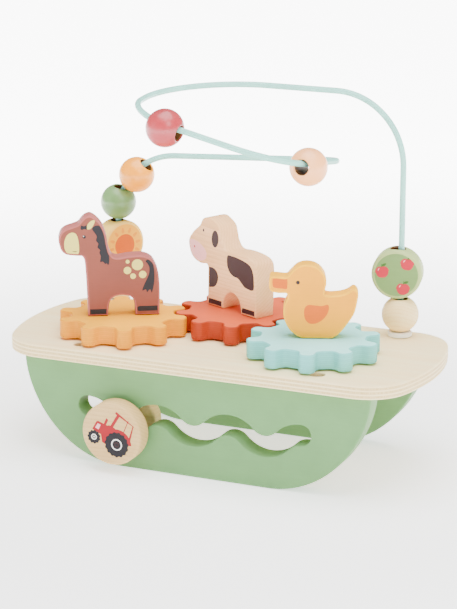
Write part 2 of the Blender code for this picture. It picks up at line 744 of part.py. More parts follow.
def build_figure(name, shares, length, height, axis_share, heading, places, axis, paint, wood):
    """A flat animal that stands on its gear, held by two dowels."""
    half = FIGURE_THICKNESS / 2
    spin = Matrix.Rotation(math.radians(heading), 4, "Z")
    outline = smooth_outline(shares, length, height, axis_share)
    body = slab(outline, -half, half, FIGURE_EDGE, STANDING)
    figure = add_piece(name, body, paint, (0, 0, FIGURE_BOTTOM), spin, axis)
    cutters = bmesh.new()
    socket = rod(DOWEL_DIAMETER / 2 + SEAT_GAP, -CUT_OVERRUN, DOWEL_FIGURE_BITE + SEAT_GAP)
    for along in places:
        turned(socket, SMALL_SIDES, cutters, Matrix.Translation((along, 0, 0)))
    cut(figure, cutters, name + "_sockets")
    dowel = rod(DOWEL_DIAMETER / 2, GEAR_TOP - DOWEL_GEAR_BITE, FIGURE_BOTTOM + DOWEL_FIGURE_BITE)
    for number, along in enumerate(places, start=1):
        spot = spin @ Vector((along, 0, 0))
        add_piece(f"{name}_dowel_{number}", turned(dowel, SMALL_SIDES), wood, spot, None, axis)


def dowel_places(shares, length, axis_share):
    return [(share - axis_share) * length for share in shares]


def bead_profile():
    """Outer ball and straight bore of a bead, as one closed ring profile."""
    radius = BEAD_DIAMETER / 2
    mouth = math.asin(BEAD_BORE / BEAD_DIAMETER)
    points = []
    for step in range(BEAD_STEPS + 1):
        angle = mouth + (math.pi - 2 * mouth) * step / BEAD_STEPS
        points.append((radius * math.sin(angle), -radius * math.cos(angle)))
    return points


def facing(direction):
    """Rotation that turns a piece's own Z axis to a direction."""
    return direction.to_track_quat("Z", "Y")


def add_bead(name, paint, place, direction, parent=None):
    bm = turned(bead_profile(), ROUND_SIDES, ring=True)
    return add_piece(name, bm, paint, place, facing(direction), parent)


def bend_play(bend, half_length):
    """How far a straight bore moves in from a bend, to clear the curved wire alike."""
    return half_length ** 2 / (4 * bend["radius"])


def add_picture_disc(name, paint, x, turn):
    """A standing picture disc on a post, with its bore along the post."""
    half = PICTURE_THICKNESS / 2
    profile = rounded_disc(PICTURE_DIAMETER / 2, -half, half, PICTURE_EDGE)
    bm = turned(profile, BIG_SIDES, frame=STANDING)
    spin = Matrix.Rotation(math.radians(turn), 4, "Z")
    disc = add_piece(name, bm, paint, (x, POST_DEPTH, PICTURE_HEIGHT), spin)
    reach = PICTURE_DIAMETER / 2 + CUT_OVERRUN
    cut(disc, turned(rod(BEAD_BORE / 2, -reach, reach), ROUND_SIDES), name + "_bore")
    return disc


def build_wire(paint, white):
    add_piece("wire_frame", swept(wire_path(), WIRE_DIAMETER / 2, WIRE_SIDES), paint)
    inner = WIRE_DIAMETER / 2 + SEAT_GAP
    outer = COLLAR_DIAMETER / 2
    profile = [
        (inner, COLLAR_BOTTOM), (outer, COLLAR_BOTTOM), (outer, COLLAR_TOP - COLLAR_EDGE),
        (outer - COLLAR_EDGE, COLLAR_TOP), (inner, COLLAR_TOP),
    ]
    for name, x in zip(("wire_collar_left", "wire_collar_right"), post_places()):
        add_piece(name, turned(profile, ROUND_SIDES, ring=True), white, (x, POST_DEPTH, 0))


def build_beads(paints):
    up = Vector((0, 0, 1))
    left, right = post_places()
    add_bead("natural_bead_left", paints["natural"], (left, POST_DEPTH, POST_BEAD_HEIGHT), up)
    add_bead("natural_bead_right", paints["natural"], (right, POST_DEPTH, POST_BEAD_HEIGHT), up)
    add_picture_disc("sun_disc", paints["sun"], left, SUN_FACING)
    add_picture_disc("apple_disc", paints["apple"], right - APPLE_DISC_LEAN, APPLE_FACING)

    bends = wire_bends()
    red_bend = bends[2]
    play = bend_play(red_bend, BEAD_HALF_BORE_LENGTH)
    axis = add_axis("red_bead_axis", red_bend["centre"])
    spot, heading = on_bend(red_bend, red_bend["turn"] * RED_BEAD_SHARE, play)
    spot = spot - red_bend["axis"] * BEAD_HANG - red_bend["centre"]
    add_bead("red_bead", paints["red"], spot, heading, axis)

    start, heading = on_bend(bends[3], bends[3]["turn"])
    spot = start.lerp(bends[4]["start"], PEACH_BEAD_SHARE)
    down = (heading * heading.z - up).normalized()
    add_bead("peach_bead", paints["peach"], spot + down * BEAD_HANG, heading)

    last_bend = bends[5]
    centre = last_bend["centre"]
    axis = add_axis("left_bend_axis", centre)
    green_reach = last_bend["radius"] + GREEN_BEAD_LEAN
    yellow_reach = last_bend["radius"] - YELLOW_BEAD_LEAN
    apart = BEAD_DIAMETER + SEAT_GAP
    square = green_reach ** 2 + yellow_reach ** 2 - apart ** 2
    step = math.acos(square / (2 * green_reach * yellow_reach))
    green_angle = green_bead_angle(last_bend, green_reach)
    beads = (
        ("green_bead", green_angle, -GREEN_BEAD_LEAN),
        ("yellow_bead", green_angle - step, YELLOW_BEAD_LEAN),
    )
    for name, angle, lean in beads:
        spot, heading = on_bend(last_bend, angle, lean)
        add_bead(name, paints[name], spot - centre, heading, axis)


def green_bead_angle(bend, reach):
    """Angle into the last bend where the green bead rests on top of the sun disc."""
    disc_top = PICTURE_HEIGHT + PICTURE_DIAMETER / 2
    rest = disc_top + SEAT_GAP + BEAD_DIAMETER / 2
    return bend["turn"] - math.asin((rest - bend["centre"].z) / reach)


def build_slider(face_paint, wood, metal):
    """The picture disc in the wavy slot, with its peg, retaining disc and screw."""
    pivot_x = -SLOT_HALF_LENGTH + SLIDER_WAVE_INDEX * SLOT_WAVE_LENGTH + SLOT_WAVE_LENGTH / 2
    pivot_z = SLOT_VALLEY + SLOT_ARC_RADIUS
    peg = SLIDER_PEG_DIAMETER / 2
    drop = SLOT_ARC_RADIUS + SLOT_WIDTH / 2 - peg - SEAT_GAP
    axis = add_axis("slider_axis", (pivot_x, 0, pivot_z))
    place = (0, 0, -drop)
    peg_front = PANEL_OUTER + SLIDER_FRONT_PLAY - SEAT_GAP
    peg_back = PANEL_INNER - SLIDER_BACK_PLAY + SEAT_GAP
    disc_back = PANEL_OUTER + SLIDER_FRONT_PLAY
    disc_front = disc_back + SLIDER_DISC_THICKNESS
    retainer_front = PANEL_INNER - SLIDER_BACK_PLAY
    retainer_back = retainer_front - RETAINER_THICKNESS
    shank = SCREW_SHANK_DIAMETER / 2
    bore = shank + SEAT_GAP

    profile = rounded_disc(SLIDER_DISC_DIAMETER / 2, disc_back, disc_front, SLIDER_DISC_EDGE)
    disc = add_piece(
        "slider_disc", turned(profile, BIG_SIDES, frame=STANDING), face_paint, place, None, axis
    )
    pilot_end = disc_back + SLIDER_SCREW_BITE + SEAT_GAP
    pilot = rod(bore, disc_back - CUT_OVERRUN, pilot_end)
    cut(disc, turned(pilot, SMALL_SIDES, frame=STANDING), "slider_disc_bore")

    tube = ring_profile(bore, peg, peg_back, peg_front)
    body = turned(tube, ROUND_SIDES, frame=STANDING, ring=True)
    add_piece("slider_peg", body, wood, place, None, axis)

    profile = rounded_disc(
        RETAINER_DIAMETER / 2, retainer_back, retainer_front, RETAINER_EDGE
    )
    body = turned(profile, BIG_SIDES, frame=STANDING)
    retainer = add_piece("slider_retaining_disc", body, wood, place, None, axis)
    shelf = retainer_back + SLIDER_SCREW_SINK
    head = SCREW_HEAD_DIAMETER / 2 + 2 * SEAT_GAP
    low = retainer_back - CUT_OVERRUN
    high = retainer_front + CUT_OVERRUN
    stepped = [(0, low), (head, low), (head, shelf), (bore, shelf), (bore, high), (0, high)]
    cut(retainer, turned(stepped, SMALL_SIDES, frame=STANDING), "retainer_bore")

    head_seat = shelf - SEAT_GAP
    length = disc_back + SLIDER_SCREW_BITE - head_seat
    profile = screw_profile(
        length, SCREW_HEAD_DIAMETER / 2, SCREW_HEAD_HEIGHT, shank, SCREW_EDGE, SCREW_TIP
    )
    flipped = STANDING @ Matrix.Translation((0, 0, head_seat - SCREW_HEAD_HEIGHT))
    flipped = flipped @ Matrix.Rotation(math.pi, 4, "X")
    add_piece("slider_screw", turned(profile, SMALL_SIDES, frame=flipped), metal, place, None, axis)


def main():
    clear_scene()
    add_maze()
    ply = make_material("birch_ply", (0.87, 0.73, 0.56), 0.55)
    green = make_material("green_paint", (0.37, 0.51, 0.33), 0.5)
    steel = make_material("zinc_steel", (0.6, 0.6, 0.6), 0.35, 1.0)
    white = make_material("white_plastic", (0.82, 0.82, 0.78), 0.4)
    wire = make_material("aqua_coated_wire", (0.48, 0.68, 0.62), 0.35)
    wood = make_material("beech_wood", (0.82, 0.66, 0.45), 0.55)
    yellow = make_material("yellow_paint", (0.93, 0.55, 0.16), 0.5)
    red = make_material("red_paint", (0.75, 0.22, 0.13), 0.5)
    blue = make_material("blue_paint", (0.6, 0.8, 0.79), 0.5)
    horse = make_material("horse_paint", (0.56, 0.21, 0.16), 0.5)
    duck = make_material("duck_paint", (0.84, 0.55, 0.08), 0.5)
    paints = {
        "natural": wood,
        "red": make_material("red_bead_paint", (0.75, 0.14, 0.16), 0.4),
        "peach": make_material("peach_bead_paint", (0.91, 0.51, 0.38), 0.4),
        "yellow_bead": make_material("yellow_bead_paint", (0.91, 0.51, 0.08), 0.4),
        "green_bead": make_material("green_bead_paint", (0.38, 0.55, 0.28), 0.4),
        "apple": make_material("apple_disc_paint", (0.46, 0.6, 0.25), 0.5),
        "sun": make_material("sun_disc_paint", (0.96, 0.6, 0.22), 0.5),
    }

    build_deck(ply)
    build_panel("front_panel", -1, green)
    build_panel("back_panel", 1, green)
    build_deck_screws(steel)

    figures = (
        ("yellow_gear", yellow, "horse", HORSE_SHARES, HORSE_LENGTH, HORSE_HEIGHT,
         HORSE_AXIS_SHARE, HORSE_HEADING, HORSE_DOWEL_SHARES, horse),
        ("red_gear", red, "cow", COW_SHARES, COW_LENGTH, COW_HEIGHT,
         COW_AXIS_SHARE, COW_HEADING, COW_DOWEL_SHARES, wood),
        ("blue_gear", blue, "duck", DUCK_SHARES, DUCK_LENGTH, DUCK_HEIGHT,
         DUCK_AXIS_SHARE, DUCK_HEADING, DUCK_DOWEL_SHARES, duck),
    )
    for index, row in enumerate(figures):
        gear, gear_paint, name, shares, length, height, axis_share, heading, pins, paint = row
        places = dowel_places(pins, length, axis_share)
        axis = build_gear(gear, index, gear_paint, steel, white, places, heading)
        build_figure(name, shares, length, height, axis_share, heading, places, axis, paint, wood)

    build_wire(wire, white)
    build_beads(paints)
    build_slider(wood, wood, steel)
    bpy.context.view_layer.update()


main()
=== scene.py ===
"""Looks of the bead maze: plywood deck on two green panels, three painted gears with a
horse, a cow and a duck, a coated wire with painted beads and printed discs, and a
printed disc in a wavy slot.

Metres, +Z up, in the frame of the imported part. Each piece is built around its own
origin, so that its grain and its prints move with it.
"""
import math

import bmesh
import bpy
from mathutils import Matrix, Vector, geometry


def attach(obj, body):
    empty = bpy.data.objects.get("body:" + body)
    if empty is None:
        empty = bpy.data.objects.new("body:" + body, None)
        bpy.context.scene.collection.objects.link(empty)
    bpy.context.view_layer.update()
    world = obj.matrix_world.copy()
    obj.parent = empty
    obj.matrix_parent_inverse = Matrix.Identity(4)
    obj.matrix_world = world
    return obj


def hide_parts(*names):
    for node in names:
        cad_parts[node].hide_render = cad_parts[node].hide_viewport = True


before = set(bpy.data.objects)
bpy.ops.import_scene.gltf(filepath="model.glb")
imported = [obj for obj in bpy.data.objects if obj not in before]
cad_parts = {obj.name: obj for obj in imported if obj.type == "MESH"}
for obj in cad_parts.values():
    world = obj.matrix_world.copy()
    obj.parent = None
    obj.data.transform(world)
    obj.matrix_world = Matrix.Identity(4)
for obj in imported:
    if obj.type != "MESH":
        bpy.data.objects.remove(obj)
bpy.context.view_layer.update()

MM = 0.001
GAP = 0.3 * MM
OVER = 2.0 * MM
SHARP_ANGLE = 38.0
ARC_SIDES = 32
FINE_SIDES = 48
IDENTITY = Matrix.Identity(4)
STANDING = Matrix.Rotation(math.pi / 2, 4, "X")

# Deck and panels

DECK_MIDDLE_Y = 50.75 * MM
DECK_BOTTOM = 69.0 * MM
DECK_THICKNESS = 9.0 * MM
DECK_TOP = DECK_BOTTOM + DECK_THICKNESS
DECK_LAYERS = 7
DECK_LENGTH = 290.0 * MM
DECK_DEPTH = 128.0 * MM
DECK_CORNER_RADIUS = 30.0 * MM
DECK_END_RADIUS = 140.0 * MM
DECK_EDGE = 1.2 * MM

PANEL_HEIGHT = 69.0 * MM
PANEL_THICKNESS = 14.5 * MM
PANEL_TOP_LENGTH = 242.0 * MM
PANEL_FOOT_LENGTH = 104.6 * MM
PANEL_SETBACK = 6.0 * MM
PANEL_EDGE = 1.2 * MM
PANEL_HEIGHT_POWER = 1.74
PANEL_WIDTH_POWER = 2.03
PANEL_OUTER = DECK_DEPTH / 2 - PANEL_SETBACK
PANEL_INNER = PANEL_OUTER - PANEL_THICKNESS
PANEL_MIDDLE = PANEL_OUTER - PANEL_THICKNESS / 2

SLOT_WIDTH = 13.5 * MM
SLOT_WAVE = 50.0 * MM
SLOT_SWING = 5.35 * MM
SLOT_MIDDLE = 33.45 * MM
SLOT_WAVES = 3
SLOT_EDGE = 0.9 * MM
SLOT_SWEEP = 2 * math.atan2(SLOT_SWING, SLOT_WAVE / 4)
SLOT_RADIUS = SLOT_WAVE / 4 / math.sin(SLOT_SWEEP)
SLOT_HALF = SLOT_WAVES * SLOT_WAVE / 2

# Slider

SLIDER_DIAMETER = 42.0 * MM
SLIDER_THICKNESS = 14.4 * MM
SLIDER_EDGE = 2.4 * MM
SLIDER_PRINT_MARGIN = 0.3 * MM
TRACTOR_UNIT = (SLIDER_DIAMETER / 2 - SLIDER_EDGE) * 1.02
TRACTOR_PLACE_SHARES = (0.225, -0.335)
TRACTOR_SLOPE = -22.0
PEG_DIAMETER = 12.0 * MM
PEG_EASE = 0.4 * MM
FRONT_PLAY = 3.0 * MM
BACK_PLAY = 1.4 * MM
RETAINER_DIAMETER = 33.0 * MM
RETAINER_THICKNESS = 10.0 * MM
RETAINER_EDGE = 1.6 * MM
SLIDER_SCREW_BITE = 8.0 * MM
SLIDER_SCREW_SINK = 4.2 * MM

# Screws, with the cross recess as (reach, half width, height) at its floor and over its mouth

SHANK = 4.0 * MM
THREAD_DEPTH = 0.45 * MM
THREAD_PITCH = 1.5 * MM
SCREW_TIP = 3.0 * MM
PLAIN_SHANK = 4.0 * MM
HEAD = 8.4 * MM
HEAD_HEIGHT = 2.6 * MM
HEAD_ROUND = 1.4 * MM
HEAD_RIM = 0.2 * MM
HEAD_LIFT = 0.3 * MM
SCREW_BITE = 26.0 * MM
SCREW_SINK = 5.2 * MM
SCREW_TO_POST = 20.5 * MM
SCREW_TURN = 37.0
SINK_EASE = 0.5 * MM
RECESS_RINGS = ((0.9 * MM, 0.38 * MM, -1.5 * MM), (2.2 * MM, 0.52 * MM, 0.8 * MM))

# Gears

TEETH = 10
FIRST_TOOTH = 9.4
TIP_RADIUS = 43.5 * MM
ROOT_RADIUS = 34.0 * MM
TIP_WIDTH = 9.4 * MM
BASE_WIDTH = 11.6 * MM
TIP_ROUND = 4.4 * MM
BASE_ROUND = 4.2 * MM
GEAR_THICKNESS = 12.0 * MM
GEAR_LAYERS = 9
GEAR_EDGE = 0.8 * MM
GEAR_DISTANCE = 78.5 * MM
ROW_ANGLE = 30.0
ROW_BACK = 15.5 * MM
TOP_SHIFT = -1.6 * MM
AXLE = 8.0 * MM
AXLE_EASE = 0.4 * MM
AXLE_HEAD = 15.0 * MM
AXLE_HEAD_HEIGHT = 4.5 * MM
AXLE_HEAD_DOME = 1.2 * MM
AXLE_HEAD_EASE = 0.2 * MM
AXLE_BITE = 6.0 * MM
WASHER = 18.0 * MM
WASHER_THICKNESS = 1.2 * MM
SPACER = 22.0 * MM
SPACER_THICKNESS = 0.8 * MM
RING_EASE = 0.15 * MM
GEAR_BOTTOM = DECK_TOP + GAP + SPACER_THICKNESS + GAP
GEAR_TOP = GEAR_BOTTOM + GEAR_THICKNESS

# Wire, beads and picture discs, with each apple as x, z and turn

WIRE = 4.0 * MM
WIRE_FOOT = 24.0 * MM
WIRE_RISE = 160.7 * MM
HALF_SPAN = 103.5 * MM
POSTS = (TOP_SHIFT - HALF_SPAN, TOP_SHIFT + HALF_SPAN)
SCREW_REACH = HALF_SPAN - SCREW_TO_POST
POST_OFFSET = 0.25 * MM
POST_DEPTH = PANEL_MIDDLE + POST_OFFSET
BEND_RADII = (47.1 * MM, 59.1 * MM, 35.5 * MM, 41.8 * MM, 19.1 * MM, 46.1 * MM)
BEND_STEP = 2.5
WIRE_CORNER_SHARES = (
    (1.000, 1.000, 1.000),
    (-0.566, 1.056, 1.000),
    (-0.462, -1.027, 0.980),
    (0.567, -0.891, 0.808),
    (0.626, 0.962, 0.720),
    (-1.000, 1.000, 0.657),
)
COLLAR = 16.0 * MM
COLLAR_HEIGHT = 3.2 * MM
COLLAR_ROUND = 1.0 * MM
COLLAR_EASE = 0.3 * MM
BEAD = 24.5 * MM
BORE = 9.8 * MM
MOUTH_ROUND = 0.7 * MM
BEAD_HANG = 2.2 * MM
GREEN_LEAN = 1.0 * MM
YELLOW_LEAN = 2.2 * MM
RED_SHARE = 0.91
PEACH_SHARE = 0.03
NATURAL_TURNS = (40.0, 10.0)
HALF_BORE = math.sqrt((BEAD / 2) ** 2 - (BORE / 2) ** 2)
POST_BEAD_Z = DECK_TOP + GAP + COLLAR_HEIGHT + GAP + HALF_BORE
PICTURE = 33.4 * MM
PICTURE_THICKNESS = 15.0 * MM
PICTURE_EDGE = 2.4 * MM
PICTURE_MOUTH = 0.6 * MM
PICTURE_Z = POST_BEAD_Z + HALF_BORE + GAP + PICTURE / 2
APPLE_LEAN = 2.4 * MM
APPLE_FACING = 12.0
APPLE_SIZE_SHARE = 0.262
APPLE_PLACE_SHARES = ((0.42, 0.45, -8), (-0.56, 0.10, 6), (0.28, -0.56, -3))
SUN_FACING = 60.0
SUN_LOW_SHARE = -0.04
SUN_DISC_SHARE = 0.48
SUN_RAYS = 12
SUN_RAY_TURN = 8

# Figures: outlines as shares of length and height, with sharp corners where the feet stand

FIGURE_BOTTOM = GEAR_TOP + GAP
FIGURE_EDGE = 1.1 * MM
PRINT_MARGIN = 0.25 * MM
DOWEL = 6.0 * MM
DOWEL_EASE = 0.5 * MM
DOWEL_FIGURE_BITE = 10.0 * MM
DOWEL_GEAR_BITE = 4.6 * MM

HORSE_SHARES = (
    (0.020, 0.780), (0.026, 0.730), (0.048, 0.668), (0.098, 0.628), (0.200, 0.614), (0.248, 0.608),
    (0.270, 0.560), (0.282, 0.430), (0.290, 0.250), (0.296, 0.000), (0.492, 0.000), (0.506, 0.120),
    (0.538, 0.180), (0.612, 0.205), (0.692, 0.198), (0.738, 0.166), (0.757, 0.105), (0.764, 0.000),
    (1.000, 0.000), (1.006, 0.240), (0.996, 0.410), (0.970, 0.500), (0.926, 0.566), (0.838, 0.604),
    (0.700, 0.600), (0.604, 0.585), (0.548, 0.598), (0.518, 0.645), (0.500, 0.720), (0.486, 0.808),
    (0.456, 0.896), (0.404, 0.968), (0.338, 1.014), (0.286, 1.004), (0.246, 0.970), (0.212, 0.930),
    (0.154, 0.908), (0.086, 0.884), (0.042, 0.845),
)
COW_SHARES = (
    (0.000, 0.681), (0.026, 0.548), (0.085, 0.478), (0.176, 0.448), (0.278, 0.450), (0.288, 0.307),
    (0.281, 0.000), (0.505, 0.000), (0.518, 0.090), (0.556, 0.164), (0.625, 0.209), (0.700, 0.190),
    (0.752, 0.131), (0.776, 0.000), (0.987, 0.000), (0.995, 0.290), (1.000, 0.540), (0.960, 0.628),
    (0.856, 0.664), (0.712, 0.676), (0.570, 0.672), (0.505, 0.740), (0.476, 0.840), (0.451, 0.917),
    (0.380, 0.972), (0.307, 1.000), (0.215, 0.970), (0.165, 0.885), (0.072, 0.797),
)
DUCK_SHARES = (
    (0.000, 0.812), (0.004, 0.655), (0.084, 0.612), (0.195, 0.606), (0.200, 0.540), (0.165, 0.450),
    (0.158, 0.340), (0.175, 0.235), (0.231, 0.114), (0.309, 0.037), (0.376, 0.000), (0.715, 0.000),
    (0.790, 0.060), (0.873, 0.176), (0.962, 0.339), (1.000, 0.520), (1.004, 0.622), (0.952, 0.676),
    (0.870, 0.620), (0.760, 0.590), (0.640, 0.592), (0.630, 0.660), (0.644, 0.755), (0.613, 0.878),
    (0.531, 0.969), (0.422, 1.000), (0.313, 0.969), (0.231, 0.878), (0.185, 0.830), (0.060, 0.840),
)

HORSE = {
    "outline_shares": HORSE_SHARES, "length": 67.0 * MM, "height": 67.0 * MM,
    "thickness": 13.0 * MM, "axis_share": 0.643, "dowel_shares": (0.385, 0.880), "heading": 29.0,
}
COW = {
    "outline_shares": COW_SHARES, "length": 70.0 * MM, "height": 60.0 * MM,
    "thickness": 16.0 * MM, "axis_share": 0.634, "dowel_shares": (0.390, 0.880), "heading": -26.0,
}
DUCK = {
    "outline_shares": DUCK_SHARES, "length": 56.0 * MM, "height": 48.5 * MM,
    "thickness": 13.0 * MM, "axis_share": 0.505, "dowel_shares": (0.450, 0.640), "heading": 21.0,
}

# Materials

PLAIN_GLOSS = 0.16
PLY_WOBBLE = 0.16 * MM
PLY_MARGIN = 0.4

# Floor, lights and camera, with each light as name, place, size, power and colour

FLOOR_REACH = 9.0
FLOOR_TONE = (0.9, 0.9, 0.9)
FLOOR_GLOSS = 0.2
FLOOR_NEAR = 0.15
FLOOR_FAR = 1.1
FLOOR_NEAR_GLOW = 1.3
FLOOR_FAR_GLOW = 9.0
WORLD_STRENGTH = 0.5
LIGHT_TARGET = Vector((0, DECK_MIDDLE_Y, 0.08))
LIGHTS = (
    ("top", (0.1, 0.0, 1.5), (1.4, 1.4), 58.0, (1.0, 1.0, 1.0)),
    ("key", (1.0, -0.8, 1.1), (0.7, 0.7), 15.0, (1.0, 0.98, 0.95)),
    ("fill", (-1.2, -1.0, 0.7), (0.8, 0.8), 3.5, (0.97, 0.98, 1.0)),
)
CAMERA_PLACE = (0.54381, -1.19867, 0.48046)
CAMERA_DOWN = 15.556
CAMERA_ROUND = 23.513
CAMERA_SENSOR = 36.0
CAMERA_LENS = 127.1


# Material recipes

def linear(red, green, blue):
    """A colour given as 0 to 255 display values, as linear numbers for a shader."""
    return tuple((value / 255) ** 2.2 for value in (red, green, blue))


def shade(colour, factor):
    return tuple(min(1.0, channel * factor) for channel in colour)


class Recipe:
    """A procedural material, built node by node around one Principled shader."""

    def __init__(self, name, roughness, gloss=PLAIN_GLOSS, **sockets):
        self.material = bpy.data.materials.new(name)
        self.material.use_nodes = True
        self.tree = self.material.node_tree
        self.shader = self.tree.nodes["Principled BSDF"]
        sockets.update(Roughness=roughness, Specular_IOR_Level=gloss)
        for socket, value in sockets.items():
            self.shader.inputs[socket.replace("_", " ")].default_value = value
        self.place = self.add("ShaderNodeTexCoord").outputs["Object"]

    def add(self, kind, inputs=None, **settings):
        node = self.tree.nodes.new(kind)
        for name, value in settings.items():
            setattr(node, name, value)
        for key, value in (inputs or {}).items():
            if isinstance(value, bpy.types.NodeSocket):
                self.tree.links.new(value, node.inputs[key])
            else:
                node.inputs[key].default_value = value
        return node

    def noise(self, scale, detail=2.0, roughness=0.5, place=None):
        """Noise with scale as cells a metre, alike all ways or one number for each axis."""
        vector = self.place if place is None else place
        if isinstance(scale, tuple):
            vector = self.add("ShaderNodeMapping", {"Vector": vector, "Scale": scale}).outputs[0]
            scale = 1.0
        values = {"Vector": vector, "Scale": scale, "Detail": detail, "Roughness": roughness}
        return self.add("ShaderNodeTexNoise", values).outputs[0]

    def math(self, operation, first, second=0.0, third=0.0):
        values = {0: first, 1: second, 2: third}
        return self.add("ShaderNodeMath", values, operation=operation).outputs[0]

    def spread(self, value, low, high, start=0.0, end=1.0):
        values = {"Value": value, "From Min": low, "From Max": high, "To Min": start, "To Max": end}
        return self.add("ShaderNodeMapRange", values, interpolation_type="SMOOTHSTEP").outputs[0]

    def mix(self, share, first, second):
        colours = [tone if isinstance(tone, bpy.types.NodeSocket) else (*tone, 1.0)
                   for tone in (first, second)]
        values = {0: share, 6: colours[0], 7: colours[1]}
        return self.add("ShaderNodeMix", values, data_type="RGBA").outputs[2]

    def blend(self, value, low, high, first, second, most=1.0):
        """The first colour up to the low value, going over to the second at the high one."""
        return self.mix(self.spread(value, low, high, 0.0, most), first, second)

    def axes(self):
        return self.add("ShaderNodeSeparateXYZ", {"Vector": self.place}).outputs

    def finish(self, colour, height=None, distance=0.0, strength=0.3, roughness=None):
        self.tree.links.new(colour, self.shader.inputs["Base Color"])
        if height is not None:
            values = {"Height": height, "Distance": distance, "Strength": strength}
            bump = self.add("ShaderNodeBump", values).outputs[0]
            self.tree.links.new(bump, self.shader.inputs["Normal"])
        if roughness is not None:
            self.tree.links.new(roughness, self.shader.inputs["Roughness"])
        return self.material


def painted(name, rgb, roughness=0.48, ply=None, coat=0.0, gloss=PLAIN_GLOSS):
    """Satin paint over wood: cloudy tone, faint grain and brush texture, ply lines."""
    base = linear(*rgb)
    recipe = Recipe(name, roughness, gloss, Coat_Weight=coat, Coat_Roughness=0.25)
    cloud = recipe.noise(45, 3, 0.55)
    grain = recipe.noise((60, 900, 900), 4, 0.65)
    speck = recipe.noise(2600)
    colour = recipe.blend(cloud, 0.3, 0.7, shade(base, 0.955), shade(base, 1.035))
    colour = recipe.blend(grain, 0.35, 0.75, colour, shade(base, 0.78), 0.16)
    height = recipe.math("MULTIPLY_ADD", grain, 0.8, recipe.math("MULTIPLY", speck, 0.5))
    if ply:
        line = ply_line(recipe, *ply)
        parity = ply_parity(recipe, *ply)
        colour = recipe.mix(recipe.math("MULTIPLY", parity, 0.22), colour, shade(base, 0.84))
        colour = recipe.mix(recipe.math("MULTIPLY", line, 0.38), colour, shade(base, 0.60))
        height = recipe.math("SUBTRACT", height, line)
    rough = recipe.spread(cloud, 0.25, 0.75, roughness - 0.04, roughness + 0.06)
    return recipe.finish(colour, height, 0.09 * MM, 0.35, rough)


def ply_height(recipe, layers, thickness):
    """Height in plies from the underside, kept inside the outer plies on the two faces."""
    wobble = recipe.noise((35, 35, 35))
    lift = recipe.math("MULTIPLY_ADD", wobble, PLY_WOBBLE, recipe.axes()[2])
    lift = recipe.math("ADD", lift, -PLY_WOBBLE / 2)
    level = recipe.math("MULTIPLY", lift, layers / thickness)
    level = recipe.math("MAXIMUM", level, PLY_MARGIN)
    return recipe.math("MINIMUM", level, layers - PLY_MARGIN)


def ply_line(recipe, layers, thickness):
    """1 on the glue lines between two plies, 0 elsewhere."""
    away = recipe.math("PINGPONG", ply_height(recipe, layers, thickness), 0.5)
    return recipe.spread(away, 0.03, 0.15, 1.0, 0.0)


def ply_parity(recipe, layers, thickness):
    """0 and 1 in turn for the plies from the underside up."""
    level = recipe.math("FLOOR", ply_height(recipe, layers, thickness))
    return recipe.math("PINGPONG", level, 1.0)


def plywood(name, light, mid, dark, layers, thickness, roughness=0.5):
    """Birch plywood: a calm face grain along X, and plies that show along the edges."""
    light, mid, dark = linear(*light), linear(*mid), linear(*dark)
    recipe = Recipe(name, roughness, Coat_Weight=0.06, Coat_Roughness=0.3)
    bend = recipe.math("MULTIPLY", recipe.noise((7, 22, 22)), 12 * MM)
    sway = recipe.add("ShaderNodeCombineXYZ", {1: bend}).outputs[0]
    values = {0: recipe.place, 1: sway}
    warp = recipe.add("ShaderNodeVectorMath", values, operation="ADD").outputs[0]
    figure = recipe.noise((5, 120, 120), 4, 0.6, warp)
    streak = recipe.noise((40, 1500, 1500), 5, 0.7, warp)
    dots = recipe.noise((260, 4200, 4200), 1, 0.5, warp)
    face = recipe.blend(figure, 0.3, 0.72, light, mid)
    face = recipe.blend(streak, 0.42, 0.78, face, dark, 0.30)
    face = recipe.blend(dots, 0.66, 0.76, face, shade(dark, 0.8), 0.28)
    across = recipe.noise((1500, 1500, 260), 3, 0.6)
    end = recipe.blend(across, 0.3, 0.7, shade(mid, 0.90), shade(dark, 0.86))
    parity = ply_parity(recipe, layers, thickness)
    line = ply_line(recipe, layers, thickness)
    colour = recipe.mix(parity, face, end)
    colour = recipe.mix(recipe.math("MULTIPLY", line, 0.45), colour, shade(dark, 0.62))
    height = recipe.math("SUBTRACT", recipe.math("ADD", streak, dots), line)
    height = recipe.math("MULTIPLY_ADD", parity, -0.3, height)
    rough = recipe.spread(streak, 0.3, 0.7, roughness - 0.05, roughness + 0.08)
    return recipe.finish(colour, height, 0.12 * MM, 0.4, rough)


